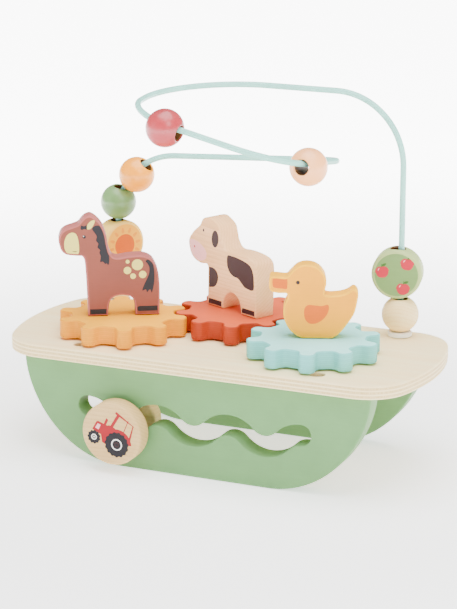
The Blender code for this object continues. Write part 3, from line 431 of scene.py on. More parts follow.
def solid_wood(name, light, mid, dark, ring=2.2 * MM, heart=(34 * MM, -60 * MM), roughness=0.5):
    """Solid beech cut from a log along X: rings on the ends, lines and flecks on faces."""
    light, mid, dark = linear(*light), linear(*mid), linear(*dark)
    recipe = Recipe(name, roughness, Coat_Weight=0.08, Coat_Roughness=0.3)
    _, y, z = recipe.axes()
    off_y = recipe.math("ADD", y, heart[0])
    off_z = recipe.math("ADD", z, heart[1])
    square = recipe.math("MULTIPLY_ADD", off_y, off_y, recipe.math("MULTIPLY", off_z, off_z))
    radius = recipe.math("POWER", square, 0.5)
    radius = recipe.math("MULTIPLY_ADD", recipe.noise((9, 30, 30)), 4.2 * MM, radius)
    level = recipe.math("FRACT", recipe.math("DIVIDE", radius, ring))
    late = recipe.math("POWER", level, 3.0)
    streak = recipe.noise((55, 1700, 1700), 4, 0.65)
    fleck = recipe.noise((420, 3400, 3400), 1)
    blotch = recipe.noise((14, 60, 60), 3)
    colour = recipe.blend(blotch, 0.3, 0.7, light, mid)
    colour = recipe.mix(recipe.math("MULTIPLY", late, 0.42), colour, dark)
    colour = recipe.blend(streak, 0.42, 0.78, colour, dark, 0.34)
    colour = recipe.blend(fleck, 0.64, 0.74, colour, shade(dark, 0.75), 0.35)
    height = recipe.math("MULTIPLY_ADD", late, -0.5, recipe.math("ADD", streak, fleck))
    rough = recipe.spread(streak, 0.3, 0.7, roughness - 0.05, roughness + 0.08)
    return recipe.finish(colour, height, 0.12 * MM, 0.4, rough)


def coated(name, rgb, roughness=0.3):
    """Powder coat on wire: an even tone with a fine pebbled skin."""
    base = linear(*rgb)
    recipe = Recipe(name, roughness, Coat_Weight=0.25, Coat_Roughness=0.2)
    skin = recipe.noise(1500)
    colour = recipe.blend(recipe.noise(60), 0.3, 0.7, shade(base, 0.95), shade(base, 1.05))
    rough = recipe.spread(skin, 0.3, 0.7, roughness - 0.03, roughness + 0.05)
    return recipe.finish(colour, skin, 0.04 * MM, 0.25, rough)


def plastic(name, rgb, roughness=0.38):
    """Moulded plastic: an even tone and a very fine matt texture."""
    base = linear(*rgb)
    recipe = Recipe(name, roughness, Subsurface_Weight=0.05, Subsurface_Scale=0.002)
    colour = recipe.blend(recipe.noise(90), 0.3, 0.7, shade(base, 0.97), shade(base, 1.02))
    return recipe.finish(colour, recipe.noise(3200), 0.03 * MM, 0.25)


def zinc(name):
    """Bright zinc plate with turning marks and a slight yellow and blue cast."""
    recipe = Recipe(name, 0.3, Metallic=1.0)
    marks = recipe.noise((150, 150, 5200), 3)
    warm = linear(205, 200, 186)
    cool = linear(184, 190, 200)
    colour = recipe.blend(recipe.noise(420), 0.3, 0.7, warm, cool)
    rough = recipe.spread(marks, 0.3, 0.7, 0.24, 0.42)
    return recipe.finish(colour, marks, 0.05 * MM, 0.3, rough)


def ink(name, rgb, roughness=0.48):
    """Printed ink on wood: the grain shows faintly through it."""
    base = linear(*rgb)
    recipe = Recipe(name, roughness)
    grain = recipe.noise((90, 1500, 1500), 4, 0.65)
    colour = recipe.blend(grain, 0.35, 0.75, base, shade(base, 0.8), 0.3)
    colour = recipe.blend(recipe.noise(1900), 0.55, 0.75, colour, shade(base, 1.25), 0.25)
    return recipe.finish(colour, grain, 0.07 * MM, 0.3)


def lacquered(name, rgb):
    """The glossier paint of the beads."""
    return painted(name, rgb, 0.3, coat=0.12, gloss=0.42)


# Shapes

def at(x=0.0, y=0.0, z=0.0):
    return Matrix.Translation((x, y, z))


def over_deck(x, y, z):
    """A place in the row frame, with x and y measured from the middle of the deck."""
    return at(x, y + DECK_MIDDLE_Y, z)


def turn_z(degrees):
    return Matrix.Rotation(math.radians(degrees), 4, "Z")


def bridge(bm, first, second, tone=0):
    """Faces between two rings of vertices, of which one may be a single point."""
    count = max(len(first), len(second))
    for index in range(count):
        after = (index + 1) % count
        if len(first) == 1:
            corners = (first[0], second[index], second[after])
        elif len(second) == 1:
            corners = (first[index], first[after], second[0])
        else:
            corners = (first[index], first[after], second[after], second[index])
        bm.faces.new(corners).material_index = tone


def turned(profile, sides, bm=None, turn=IDENTITY, ring=False, tones=None):
    """Spin a profile of (radius, height) points about Z, with a tone for each stretch."""
    bm = bm or bmesh.new()
    tones = tones or [0] * len(profile)
    rings = []
    for radius, height in profile:
        if radius == 0:
            rings.append([bm.verts.new(turn @ Vector((0, 0, height)))])
            continue
        rings.append([bm.verts.new(turn @ Vector((*spot, height))) for spot in circle(radius, sides)])
    for index in range(len(rings) - 1):
        bridge(bm, rings[index], rings[index + 1], tones[index])
    if ring:
        bridge(bm, rings[-1], rings[0], tones[-1])
    return bm


def drill(bm, radius, low, high, place=IDENTITY, sides=ARC_SIDES):
    """Add a plain round cutter to bm."""
    turned([(0, low), (radius, low), (radius, high), (0, high)], sides, bm, place)


def circle(radius, sides=112):
    return quarter((0, 0), radius, 0, 360, sides)[:-1]


def quarter(centre, radius, start, end, steps):
    """Points along an arc from one angle to another, in degrees."""
    points = []
    for step in range(steps + 1):
        angle = math.radians(start + (end - start) * step / steps)
        points.append((centre[0] + radius * math.cos(angle), centre[1] + radius * math.sin(angle)))
    return points


def eased(radius, low, high, ease):
    """The outer wall of a turned piece from low to high, with its two rims taken off."""
    return [(radius - ease, low), (radius, low + ease), (radius, high - ease), (radius - ease, high)]


def inside(point, outline):
    x, y = point
    found = False
    for index, (ax, ay) in enumerate(outline):
        bx, by = outline[index - 1]
        if (ay > y) != (by > y) and x < (bx - ax) * (y - ay) / (by - ay) + ax:
            found = not found
    return found


def hand(outline):
    """1 for an outline that runs anticlockwise, -1 for a clockwise one."""
    area = sum(a[0] * b[1] - b[0] * a[1] for a, b in zip(outline, outline[1:] + outline[:1]))
    return 1 if area > 0 else -1


def inset(outline, distance):
    """Move each point of a closed outline inwards by distance, square to its sides."""
    side = hand(outline)
    moved = []
    for index, point in enumerate(outline):
        before = (Vector(point) - Vector(outline[index - 1])).normalized()
        after = (Vector(outline[(index + 1) % len(outline)]) - Vector(point)).normalized()
        first = Vector((-before.y, before.x)) * side
        second = Vector((-after.y, after.x)) * side
        middle = (first + second).normalized()
        moved.append(Vector(point) + middle * (distance / max(middle.dot(first), 0.5)))
    return moved


def keep_within(points, outline, margin, closest=0.05 * MM):
    """Pull the points of a print back so that they stay a margin inside the outline."""
    side = hand(outline)
    kept = []
    for point in points:
        point = Vector(point)
        best = None
        for index, end in enumerate(outline):
            start = Vector(outline[index - 1])
            run = Vector(end) - start
            share = max(0.0, min(1.0, (point - start).dot(run) / max(run.length_squared, 1e-18)))
            near = start + run * share
            gap = (point - near).length
            if best is None or gap < best[0]:
                best = (gap, near, Vector((-run.y, run.x)).normalized() * side)
        if not inside(point, outline) or best[0] < margin:
            point = best[1] + best[2] * margin
        if not kept or (point - kept[-1]).length > closest:
            kept.append(point)
    return kept


def fill_cap(bm, rims, height, turn, prints):
    """Cover a flat face with triangles, with each print as faces of its own tone."""
    points = []
    anchors = []
    edges = []
    loops = rims + [[(spot, None) for spot in outline] for outline, _ in prints]
    for loop in loops:
        base = len(points)
        points += [Vector(spot) for spot, _ in loop]
        anchors += [vert for _, vert in loop]
        edges += [(base + index, base + (index + 1) % len(loop)) for index in range(len(loop))]
    spots, _, faces, sources, _, _ = geometry.delaunay_2d_cdt(points, edges, [], 0, 1e-7, True)
    outlines = [[tuple(spot) for spot, _ in rim] for rim in rims]
    made = {}

    def corner(index):
        if index not in made:
            known = [anchors[source] for source in sources[index] if anchors[source] is not None]
            spot = spots[index]
            made[index] = known[0] if known else bm.verts.new(turn @ Vector((*spot, height)))
        return made[index]

    for face in faces:
        middle = sum((spots[index] for index in face), Vector((0, 0))) / len(face)
        if not inside(middle, outlines[0]) or any(inside(middle, hole) for hole in outlines[1:]):
            continue
        tones = [tone for outline, tone in prints if inside(middle, outline)]
        bm.faces.new([corner(index) for index in face]).material_index = tones[-1] if tones else 0


def plate(outlines, low, high, edges, steps, turn=IDENTITY, rim_tone=0, front=(), back=()):
    """A flat piece: one outer outline, then its holes, with rounded rims on both faces.
    front and back are the prints on the faces at the high and the low end."""
    bm = bmesh.new()
    caps = ([], [])
    for number, (outline, edge) in enumerate(zip(outlines, edges)):
        arc = quarter((0, 0), edge, 0, 90, steps)
        layers = [(edge - depth, low + edge - rise) for rise, depth in arc]
        layers += [(edge - depth, high - edge + rise) for depth, rise in arc]
        rings = []
        for depth, height in layers:
            shift = depth if number == 0 else -depth
            spots = inset(outline, shift) if shift else [Vector(point) for point in outline]
            rings.append((spots, [bm.verts.new(turn @ Vector((*spot, height))) for spot in spots]))
        for lower, upper in zip(rings, rings[1:]):
            bridge(bm, lower[1], upper[1], rim_tone)
        caps[0].append(list(zip(*rings[0])))
        caps[1].append(list(zip(*rings[-1])))
    fill_cap(bm, caps[0], low, turn, back)
    fill_cap(bm, caps[1], high, turn, front)
    return bm


def make_object(name, bm, place):
    bmesh.ops.recalc_face_normals(bm, faces=bm.faces)
    mesh = bpy.data.meshes.new(name)
    bm.to_mesh(mesh)
    bm.free()
    made = bpy.data.objects.new(name, mesh)
    bpy.context.collection.objects.link(made)
    made.matrix_world = place
    return made


def soften(piece):
    piece.data.shade_smooth()
    piece.data.set_sharp_from_angle(angle=math.radians(SHARP_ANGLE))


def carve(piece, bm):
    """Cut the closed shapes in bm out of the piece, and keep the result as its mesh."""
    cutter = make_object("cutter", bm, piece.matrix_world)
    boolean = piece.modifiers.new("cut", "BOOLEAN")
    boolean.operation = "DIFFERENCE"
    boolean.solver = "EXACT"
    boolean.object = cutter
    bpy.context.view_layer.update()
    solved = piece.evaluated_get(bpy.context.evaluated_depsgraph_get())
    old = piece.data
    result = bpy.data.meshes.new_from_object(solved)
    piece.modifiers.clear()
    result.name = piece.name
    piece.data = result
    for mesh in (old, cutter.data):
        bpy.data.meshes.remove(mesh)
    soften(piece)


def add_piece(name, bm, paints, place, cutters=None):
    """Turn a bmesh into a named object with its materials, less its cutters, at its place."""
    piece = make_object(name, bm, place)
    for paint in paints:
        piece.data.materials.append(paint)
    soften(piece)
    if cutters:
        carve(piece, cutters)
    return piece


def settle(piece, body, node):
    """Let the piece ride on its body, in place of its CAD node."""
    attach(piece, body)
    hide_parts(node)


def smooth_outline(shares, length=1.0, height=1.0, axis_share=0.0, steps=5):
    """A closed curve through points given as shares. Those at height 0 are sharp corners."""
    points = [(Vector(((x - axis_share) * length, z * height)), z == 0) for x, z in shares]
    count = len(points)
    outline = []
    for index in range(count):
        before, _ = points[index - 1]
        here, here_corner = points[index]
        there, there_corner = points[(index + 1) % count]
        after, _ = points[(index + 2) % count]
        outline.append(here)
        if here_corner and there_corner:
            continue
        leave = (there - here) if here_corner else (there - before) / 2
        arrive = (there - here) if there_corner else (after - here) / 2
        for step in range(1, steps):
            t = step / steps
            outline.append(
                here * (2 * t ** 3 - 3 * t ** 2 + 1) + leave * (t ** 3 - 2 * t ** 2 + t)
                + there * (3 * t ** 2 - 2 * t ** 3) + arrive * (t ** 3 - t ** 2)
            )
    return outline


def moved(points, x, z, size, turn=0.0):
    """Points turned, scaled and put at a place."""
    spin = Matrix.Rotation(math.radians(turn), 2)
    return [Vector((x, z)) + spin @ (Vector(point) * size) for point in points]


def ellipse(x, z, wide, high, turn=0.0, sides=ARC_SIDES):
    return moved([(wide * along, high * up) for along, up in circle(1, sides)], x, z, 1, turn)


# Paints and woods

gear_plies = (GEAR_LAYERS, GEAR_THICKNESS)
ply = plywood("birch_ply", (255, 236, 186), (254, 226, 168), (238, 200, 134),
              DECK_LAYERS, DECK_THICKNESS)
green = painted("sage_green_paint", (110, 154, 100), 0.45)
beech = solid_wood("beech", (252, 200, 146), (245, 188, 130), (214, 150, 96))
pale_beech = solid_wood("pale_beech", (253, 228, 172), (250, 218, 156), (230, 188, 124))
disc_wood = solid_wood("disc_wood", (226, 190, 134), (214, 176, 116), (190, 146, 88))
# Bare wood grain for the bores, far darker than the beech: painted shade inside the holes.
painted_bore_shade = solid_wood("bore_shade_paint", (118, 80, 46), (100, 64, 36), (76, 46, 26))
steel = zinc("zinc_plate")
white = plastic("white_moulding", (252, 252, 246))
grey_white = plastic("spacer_moulding", (228, 228, 220), 0.5)
aqua = coated("aqua_powder_coat", (138, 200, 186))
# Each gear's side paint is a darker copy of its top colour: painted shade on the rims and sides, away
# from the top light. The ply lines in it are the wood's own.
yellow_gear = painted("yellow_gear_paint", (250, 172, 22), 0.45)
yellow_gear_shaded_side = painted("yellow_gear_side_painted_shade", (228, 146, 0), 0.5, gear_plies)
red_gear = painted("red_gear_paint", (214, 92, 54), 0.45)
red_gear_shaded_side = painted("red_gear_side_painted_shade", (168, 60, 32), 0.5, gear_plies)
blue_gear = painted("blue_gear_paint", (156, 234, 230), 0.45)
blue_gear_shaded_side = painted("blue_gear_side_painted_shade", (112, 196, 192), 0.5, gear_plies)
# The horse's and the duck's rim paints, on the rounded edges and side walls, are lighter than their
# faces: partly the paint's own tone, partly a painted highlight.
horse_face = painted("horse_face_paint", (130, 72, 60), 0.5)
horse_rim_tone_and_highlight = painted("horse_rim_paint_and_highlight", (164, 92, 86), 0.5)
duck_face = painted("duck_face_paint", (240, 156, 0))
duck_rim_tone_and_highlight = painted("duck_rim_paint_and_highlight", (252, 180, 8))
apple_face = painted("apple_face_paint", (116, 146, 88))
apple_rim = painted("apple_rim_paint", (166, 182, 118))
sun_face = painted("sun_face_paint", (252, 180, 46))
sun_rim = painted("sun_rim_paint", (255, 206, 104))
red_bead = lacquered("red_bead_paint", (164, 54, 60))
peach_bead = lacquered("peach_bead_paint", (252, 172, 112))
yellow_bead = lacquered("yellow_bead_paint", (250, 154, 2))
green_bead = lacquered("green_bead_paint", (108, 144, 88))
charcoal = ink("charcoal_ink", (42, 40, 44))
cream = ink("cream_ink", (214, 200, 104))
plum = ink("plum_ink", (58, 40, 42))
pink = ink("pink_ink", (252, 182, 182))
orange = ink("orange_ink", (212, 96, 4))
deep_orange = ink("deep_orange_ink", (216, 98, 6))
gold = ink("gold_ink", (240, 150, 36))
apple_red = ink("apple_red_ink", (190, 44, 62))
leaf = ink("leaf_ink", (62, 98, 44))
tractor_red = ink("tractor_red_ink", (160, 34, 44))
white_ink = ink("white_ink", (248, 244, 238))


# Deck and panels

def deck_outline():
    """Four corner arcs between two flat-curved ends."""
    half_length = DECK_LENGTH / 2
    rise = DECK_DEPTH / 2 - DECK_CORNER_RADIUS
    end_centre = half_length - DECK_END_RADIUS
    reach = DECK_END_RADIUS - DECK_CORNER_RADIUS
    corner_x = end_centre + math.sqrt(reach ** 2 - rise ** 2)
    tilt = math.degrees(math.asin(rise / reach))
    end = quarter((end_centre, 0), DECK_END_RADIUS, 0, tilt, 10)
    corner = quarter((corner_x, rise), DECK_CORNER_RADIUS, tilt, 90, 20)
    right = end[1:-1] + corner
    back = right + [(-x, y) for x, y in reversed(right)]
    return back + [(-half_length, 0)] + [(x, -y) for x, y in reversed(back)] + [(half_length, 0)]


def panel_outline(steps=44):
    """A bowl: flat foot, straight top, and sides that swell between them."""
    top = PANEL_TOP_LENGTH / 2
    foot = PANEL_FOOT_LENGTH / 2
    full = PANEL_HEIGHT - GAP
    side = []
    for step in range(steps + 1):
        height = full * (step / steps) ** 2
        fall = (1 - height / full) ** PANEL_HEIGHT_POWER
        side.append((foot + (top - foot) * (1 - fall) ** (1 / PANEL_WIDTH_POWER), height))
    return side + [(-x, z) for x, z in reversed(side)]


def slot_outline(steps=9):
    """A band of even width along a wave of alternating arcs, with round ends."""
    crest = SLOT_MIDDLE + SLOT_SWING
    valley = SLOT_MIDDLE - SLOT_SWING
    middle = []
    for wave in range(2 * SLOT_WAVES):
        start = -SLOT_HALF + wave * SLOT_WAVE / 2
        sign = 1 if wave % 2 == 0 else -1
        first, last = (crest, valley) if sign > 0 else (valley, crest)
        for step in range(steps):
            angle = SLOT_SWEEP * step / steps
            x = start + SLOT_RADIUS * math.sin(angle)
            middle.append((x, first - sign * SLOT_RADIUS * (1 - math.cos(angle)), -sign * angle))
        for step in range(steps):
            angle = SLOT_SWEEP * (steps - step) / steps
            x = start + SLOT_WAVE / 2 - SLOT_RADIUS * math.sin(angle)
            middle.append((x, last + sign * SLOT_RADIUS * (1 - math.cos(angle)), -sign * angle))
    middle.append((SLOT_HALF, crest, 0))
    half = SLOT_WIDTH / 2
    upper = [(x - half * math.sin(t), z + half * math.cos(t)) for x, z, t in middle]
    lower = [(x + half * math.sin(t), z - half * math.cos(t)) for x, z, t in middle]
    right = quarter((SLOT_HALF, crest), half, 90, -90, 18)[1:-1]
    left = quarter((-SLOT_HALF, crest), half, -90, -270, 18)[1:-1]
    return upper + right + list(reversed(lower)) + left


def screw_places():
    return [(x, y) for x in (-SCREW_REACH, SCREW_REACH) for y in (-PANEL_MIDDLE, PANEL_MIDDLE)]


def gear_centre(index):
    angle = math.radians(ROW_ANGLE)
    back = GEAR_DISTANCE * math.sin(angle) if index == 1 else 0
    return Vector((TOP_SHIFT + (index - 1) * GEAR_DISTANCE * math.cos(angle), back - ROW_BACK, 0))


def over_gear(index, z):
    centre = gear_centre(index)
    return over_deck(centre.x, centre.y, z)


def build_deck():
    bm = plate([deck_outline()], 0, DECK_THICKNESS, [DECK_EDGE], 6)
    cutters = bmesh.new()
    shank = SHANK / 2 + GAP
    head = HEAD / 2 + 2 * GAP
    shelf = DECK_THICKNESS - SCREW_SINK
    top = DECK_THICKNESS + OVER
    stepped = [(0, -OVER), (shank, -OVER), (shank, shelf), (head, shelf),
               (head, DECK_THICKNESS - SINK_EASE), (head + SINK_EASE, DECK_THICKNESS),
               (head + SINK_EASE, top), (0, top)]
    for x, y in screw_places():
        turned(stepped, 40, cutters, at(x, y))
    for index in range(3):
        drill(cutters, AXLE / 2 + GAP, -OVER, top, at(*gear_centre(index)))
    for x in POSTS:
        drill(cutters, WIRE / 2 + GAP, -OVER, top, at(x, POST_DEPTH))
    deck = add_piece("deck", bm, [ply], over_deck(0, 0, DECK_BOTTOM), cutters)
    settle(deck, "table", "deck_board")


def build_panel(name, node, side):
    """side is -1 for the front panel, which has the slot, and 1 for the back one."""
    half = PANEL_THICKNESS / 2
    outlines = [panel_outline()]
    if side < 0:
        outlines.append(slot_outline())
    bm = plate(outlines, -half, half, [PANEL_EDGE, SLOT_EDGE], 5, STANDING)
    cutters = bmesh.new()
    top = PANEL_HEIGHT + OVER
    bottom = DECK_TOP - SCREW_SINK - SCREW_BITE - 2 * GAP
    for x in (-SCREW_REACH, SCREW_REACH):
        drill(cutters, SHANK / 2 + GAP, bottom, top, at(x))
    if side > 0:
        for x in POSTS:
            spot = at(x, POST_DEPTH - PANEL_MIDDLE)
            drill(cutters, WIRE / 2 + GAP, DECK_BOTTOM - WIRE_FOOT - GAP, top, spot)
    panel = add_piece(name, bm, [green], over_deck(0, side * PANEL_MIDDLE, 0), cutters)
    settle(panel, "table", node)


def screw_mesh(length):
    """A round-headed screw with a threaded shank, point down, top of the head at zero."""
    shank = SHANK / 2
    root = shank - THREAD_DEPTH
    end = -HEAD_HEIGHT - length
    height = end + SCREW_TIP
    profile = [(0, end), (root, height)]
    while height + THREAD_PITCH < -HEAD_HEIGHT - PLAIN_SHANK:
        profile += [(root, height + 0.5 * THREAD_PITCH), (shank, height + 0.75 * THREAD_PITCH),
                    (root, height + THREAD_PITCH)]
        height += THREAD_PITCH
    profile += [(shank, height + THREAD_PITCH), (shank, -HEAD_HEIGHT)]
    profile += [(HEAD / 2 - HEAD_RIM, -HEAD_HEIGHT), (HEAD / 2, HEAD_LIFT - HEAD_HEIGHT)]
    profile += quarter((HEAD / 2 - HEAD_ROUND, -HEAD_ROUND), HEAD_ROUND, 0, 75, 6)
    profile.append((0, 0))
    return turned(profile, 40)


def cross_recess():
    """A tapered cross that cuts the drive recess of a screw."""
    bm = bmesh.new()
    rings = []
    for reach, half, height in RECESS_RINGS:
        corners = []
        for x, y in ((1, 1), (-1, 1), (-1, -1), (1, -1)):
            arms = [(x * reach, y * half), (x * half, y * half), (x * half, y * reach)]
            corners += arms if x * y > 0 else arms[::-1]
        rings.append([bm.verts.new((x, y, height)) for x, y in corners])
    bridge(bm, *rings)
    bm.faces.new(rings[0])
    bm.faces.new(rings[1])
    return bm


def add_screw(name, length, place, body, node):
    screw = add_piece(name, screw_mesh(length), [steel], place, cross_recess())
    settle(screw, body, node)


def build_deck_screws():
    top = DECK_TOP - SCREW_SINK + GAP + HEAD_HEIGHT
    for number, (x, y) in enumerate(screw_places(), start=1):
        place = over_deck(x, y, top) @ turn_z(SCREW_TURN * number)
        add_screw(f"deck_fixing_{number}", SCREW_BITE, place, "table", f"deck_screw_{number}")


# Gears

def round_corners(corners, radii, steps):
    """An outline with each corner turned into an arc of its own radius."""
    outline = []
    count = len(corners)
    for index in range(count):
        here = Vector(corners[index])
        back = (Vector(corners[index - 1]) - here).normalized()
        ahead = (Vector(corners[(index + 1) % count]) - here).normalized()
        half = back.angle(ahead) / 2
        middle = here + (back + ahead).normalized() * (radii[index] / math.sin(half))
        start = here + back * (radii[index] / math.tan(half)) - middle
        turn = math.pi - 2 * half
        if back.x * ahead.y - back.y * ahead.x > 0:
            turn = -turn
        for step in range(steps + 1):
            outline.append(middle + Matrix.Rotation(turn * step / steps, 2) @ start)
    return outline


def gear_outline(first):
    """Ten rounded teeth, the first of them at that heading in degrees."""
    corners = []
    for index in range(TEETH):
        spin = Matrix.Rotation(math.radians(first) + math.tau * index / TEETH, 2)
        for along, across in (
            (ROOT_RADIUS, -BASE_WIDTH / 2), (TIP_RADIUS, -TIP_WIDTH / 2),
            (TIP_RADIUS, TIP_WIDTH / 2), (ROOT_RADIUS, BASE_WIDTH / 2),
        ):
            corners.append(spin @ Vector((along, across)))
    return round_corners(corners, [BASE_ROUND, TIP_ROUND, TIP_ROUND, BASE_ROUND] * TEETH, 8)


def gear_phase(index):
    """The heading of a gear's first tooth, so that a tooth meets a gap of its neighbour."""
    half_pitch = 180 / TEETH
    second = 2 * ROW_ANGLE + 180 + half_pitch - FIRST_TOOTH
    return (FIRST_TOOTH, second, half_pitch - 2 * ROW_ANGLE - second)[index]


def dowel_places(figure):
    return [(share - figure["axis_share"]) * figure["length"] for share in figure["dowel_shares"]]


def build_gear(name, body, index, paints, figure):
    """The gear with its blind axle hole below and the two dowel sockets of its figure."""
    outline = gear_outline(gear_phase(index))
    # The rim and sides take the second paint: the gear's colour darkened as painted shade, with its ply
    # lines.
    bm = plate([outline], 0, GEAR_THICKNESS, [GEAR_EDGE], 5, rim_tone=1)
    cutters = bmesh.new()
    drill(cutters, AXLE / 2 + GAP, -OVER, AXLE_BITE + GAP)
    floor = GEAR_THICKNESS - DOWEL_GEAR_BITE - GAP
    for along in dowel_places(figure):
        spot = turn_z(figure["heading"]) @ at(along)
        drill(cutters, DOWEL / 2 + GAP, floor, GEAR_THICKNESS + OVER, spot, 24)
    place = over_gear(index, GEAR_BOTTOM)
    gear = add_piece(name + "_finish", bm, paints, place, cutters)
    settle(gear, body, name)


def build_axle(name, body, index):
    """The shoulder bolt from below, with its washer under the deck and its spacer over it."""
    spot = over_gear(index, 0)
    washer_top = DECK_BOTTOM - GAP
    washer_bottom = washer_top - WASHER_THICKNESS
    head_top = washer_bottom - GAP
    bottom = head_top - AXLE_HEAD_HEIGHT
    top = GEAR_BOTTOM + AXLE_BITE
    head = AXLE_HEAD / 2
    shank = AXLE / 2
    profile = [(0, bottom)]
    profile += quarter((head - AXLE_HEAD_DOME, bottom + AXLE_HEAD_DOME), AXLE_HEAD_DOME, -90, 0, 5)
    profile += [(head, head_top - AXLE_HEAD_EASE), (head - AXLE_HEAD_EASE, head_top)]
    profile += [(shank, head_top), (shank, top - AXLE_EASE), (shank - AXLE_EASE, top), (0, top)]
    axle = add_piece(name + "_pivot", turned(profile, FINE_SIDES), [steel], spot)
    settle(axle, body, name + "_axle")
    bore = shank + GAP
    spacer_bottom = DECK_TOP + GAP
    for part, node, across, low, high, paint, slot in (
        ("_ring", "_washer", WASHER, washer_bottom, washer_top, steel, "zinc_steel"),
        ("_slider", "_spacer", SPACER, spacer_bottom, spacer_bottom + SPACER_THICKNESS, grey_white,
         "white_plastic"),
    ):
        profile = [(bore, low)] + eased(across / 2, low, high, RING_EASE) + [(bore, high)]
        ring = add_piece(name + part, turned(profile, FINE_SIDES, ring=True), [paint], spot)
        settle(ring, "table", name + node)


# Figures, with their prints as shares of the figure's length and height

def build_figure(name, body, index, figure, paints, prints):
    """paints: face, rim, then one for each printed tone. prints: (outline, tone)."""
    length, height, axis_share = (figure[key] for key in ("length", "height", "axis_share"))
    outline = smooth_outline(figure["outline_shares"], length, height, axis_share, 6)
    face = inset(outline, FIGURE_EDGE)
    shapes = []
    for points, tone in prints:
        points = [((x - axis_share) * length, z * height) for x, z in points]
        shapes.append((keep_within(points, face, PRINT_MARGIN), tone))
    half = figure["thickness"] / 2
    # The rim and side walls take the second paint, which for the horse and the duck holds a painted
    # highlight.
    bm = plate([outline], -half, half, [FIGURE_EDGE], 7, STANDING, 1, shapes, shapes)
    place = over_gear(index, FIGURE_BOTTOM) @ turn_z(figure["heading"])
    cutters = bmesh.new()
    for along in dowel_places(figure):
        drill(cutters, DOWEL / 2 + GAP, -OVER, DOWEL_FIGURE_BITE + GAP, at(along), 24)
    piece = add_piece(name + "_figure", bm, paints, place, cutters)
    settle(piece, body, name)
    low = GEAR_TOP - DOWEL_GEAR_BITE - FIGURE_BOTTOM
    high = DOWEL_FIGURE_BITE
    profile = [(0, low)] + eased(DOWEL / 2, low, high, DOWEL_EASE) + [(0, high)]
    for number, along in enumerate(dowel_places(figure), start=1):
        pin = add_piece(f"{name}_pin_{number}", turned(profile, ARC_SIDES), [pale_beech],
                        place @ at(along))
        settle(pin, body, f"{name}_dowel_{number}")


def even(x, z, radius, figure, sides=28):
    """A round print, true to size in millimetres on that figure."""
    return ellipse(x, z, radius * MM / figure["length"], radius * MM / figure["height"], 0, sides)


def band(left, right, low, high):
    """A flat band with softened corners."""
    ease = min(right - left, high - low) * 0.25
    return [(left + ease, low), (right - ease, low), (right, low + ease), (right, high - ease),
            (right - ease, high), (left + ease, high), (left, high - ease), (left, low + ease)]


def horse_prints():
    mane = smooth_outline([
        (0.348, 0.886), (0.380, 0.916), (0.430, 0.912), (0.470, 0.866), (0.492, 0.800),
        (0.504, 0.708), (0.512, 0.610), (0.510, 0.540), (0.500, 0.518), (0.484, 0.534),
        (0.470, 0.528), (0.448, 0.552), (0.422, 0.550), (0.428, 0.604), (0.416, 0.642),
        (0.422, 0.670), (0.398, 0.698), (0.406, 0.736), (0.384, 0.766), (0.392, 0.808),
        (0.370, 0.846),
    ])
    tail = smooth_outline([
        (0.868, 0.548), (0.896, 0.566), (0.928, 0.548), (0.948, 0.480), (0.954, 0.390),
        (0.946, 0.300), (0.926, 0.228), (0.912, 0.258), (0.898, 0.252), (0.880, 0.232),
        (0.866, 0.260), (0.832, 0.250), (0.850, 0.306), (0.880, 0.370), (0.902, 0.430),
        (0.902, 0.488), (0.884, 0.524),
    ])
    muzzle = smooth_outline([
        (0.150, 0.852), (0.190, 0.836), (0.211, 0.780), (0.218, 0.705), (0.212, 0.640),
        (0.165, 0.622), (0.110, 0.636), (0.078, 0.690), (0.076, 0.762), (0.104, 0.826),
    ])
    ear = smooth_outline([
        (0.300, 0.884), (0.304, 0.926), (0.336, 0.962), (0.376, 0.972), (0.366, 0.930),
        (0.336, 0.888),
    ])
    brow = smooth_outline([
        (0.236, 0.900), (0.244, 0.920), (0.270, 0.914), (0.297, 0.922), (0.296, 0.880),
        (0.272, 0.884), (0.250, 0.876), (0.238, 0.884),
    ])
    spots = [
        even(x, z, radius, HORSE)
        for x, z, radius in (
            (0.787, 0.513, 3.7), (0.688, 0.457, 2.5), (0.743, 0.398, 1.9), (0.838, 0.413, 2.5),
            (0.691, 0.546, 1.3),
        )
    ]
    smile = smooth_outline([
        (0.150, 0.664), (0.176, 0.656), (0.200, 0.662), (0.176, 0.664),
    ])
    dark = [mane, tail, brow, even(0.270, 0.806, 1.15, HORSE),
            band(0.270, 0.520, -0.050, 0.070), band(0.781, 1.040, 0.040, 0.092), smile]
    light = [muzzle, ear] + spots
    glint = even(0.264, 0.812, 0.32, HORSE, 12)
    return [(shape, 3) for shape in light] + [(shape, 2) for shape in dark] + [(glint, 4)]


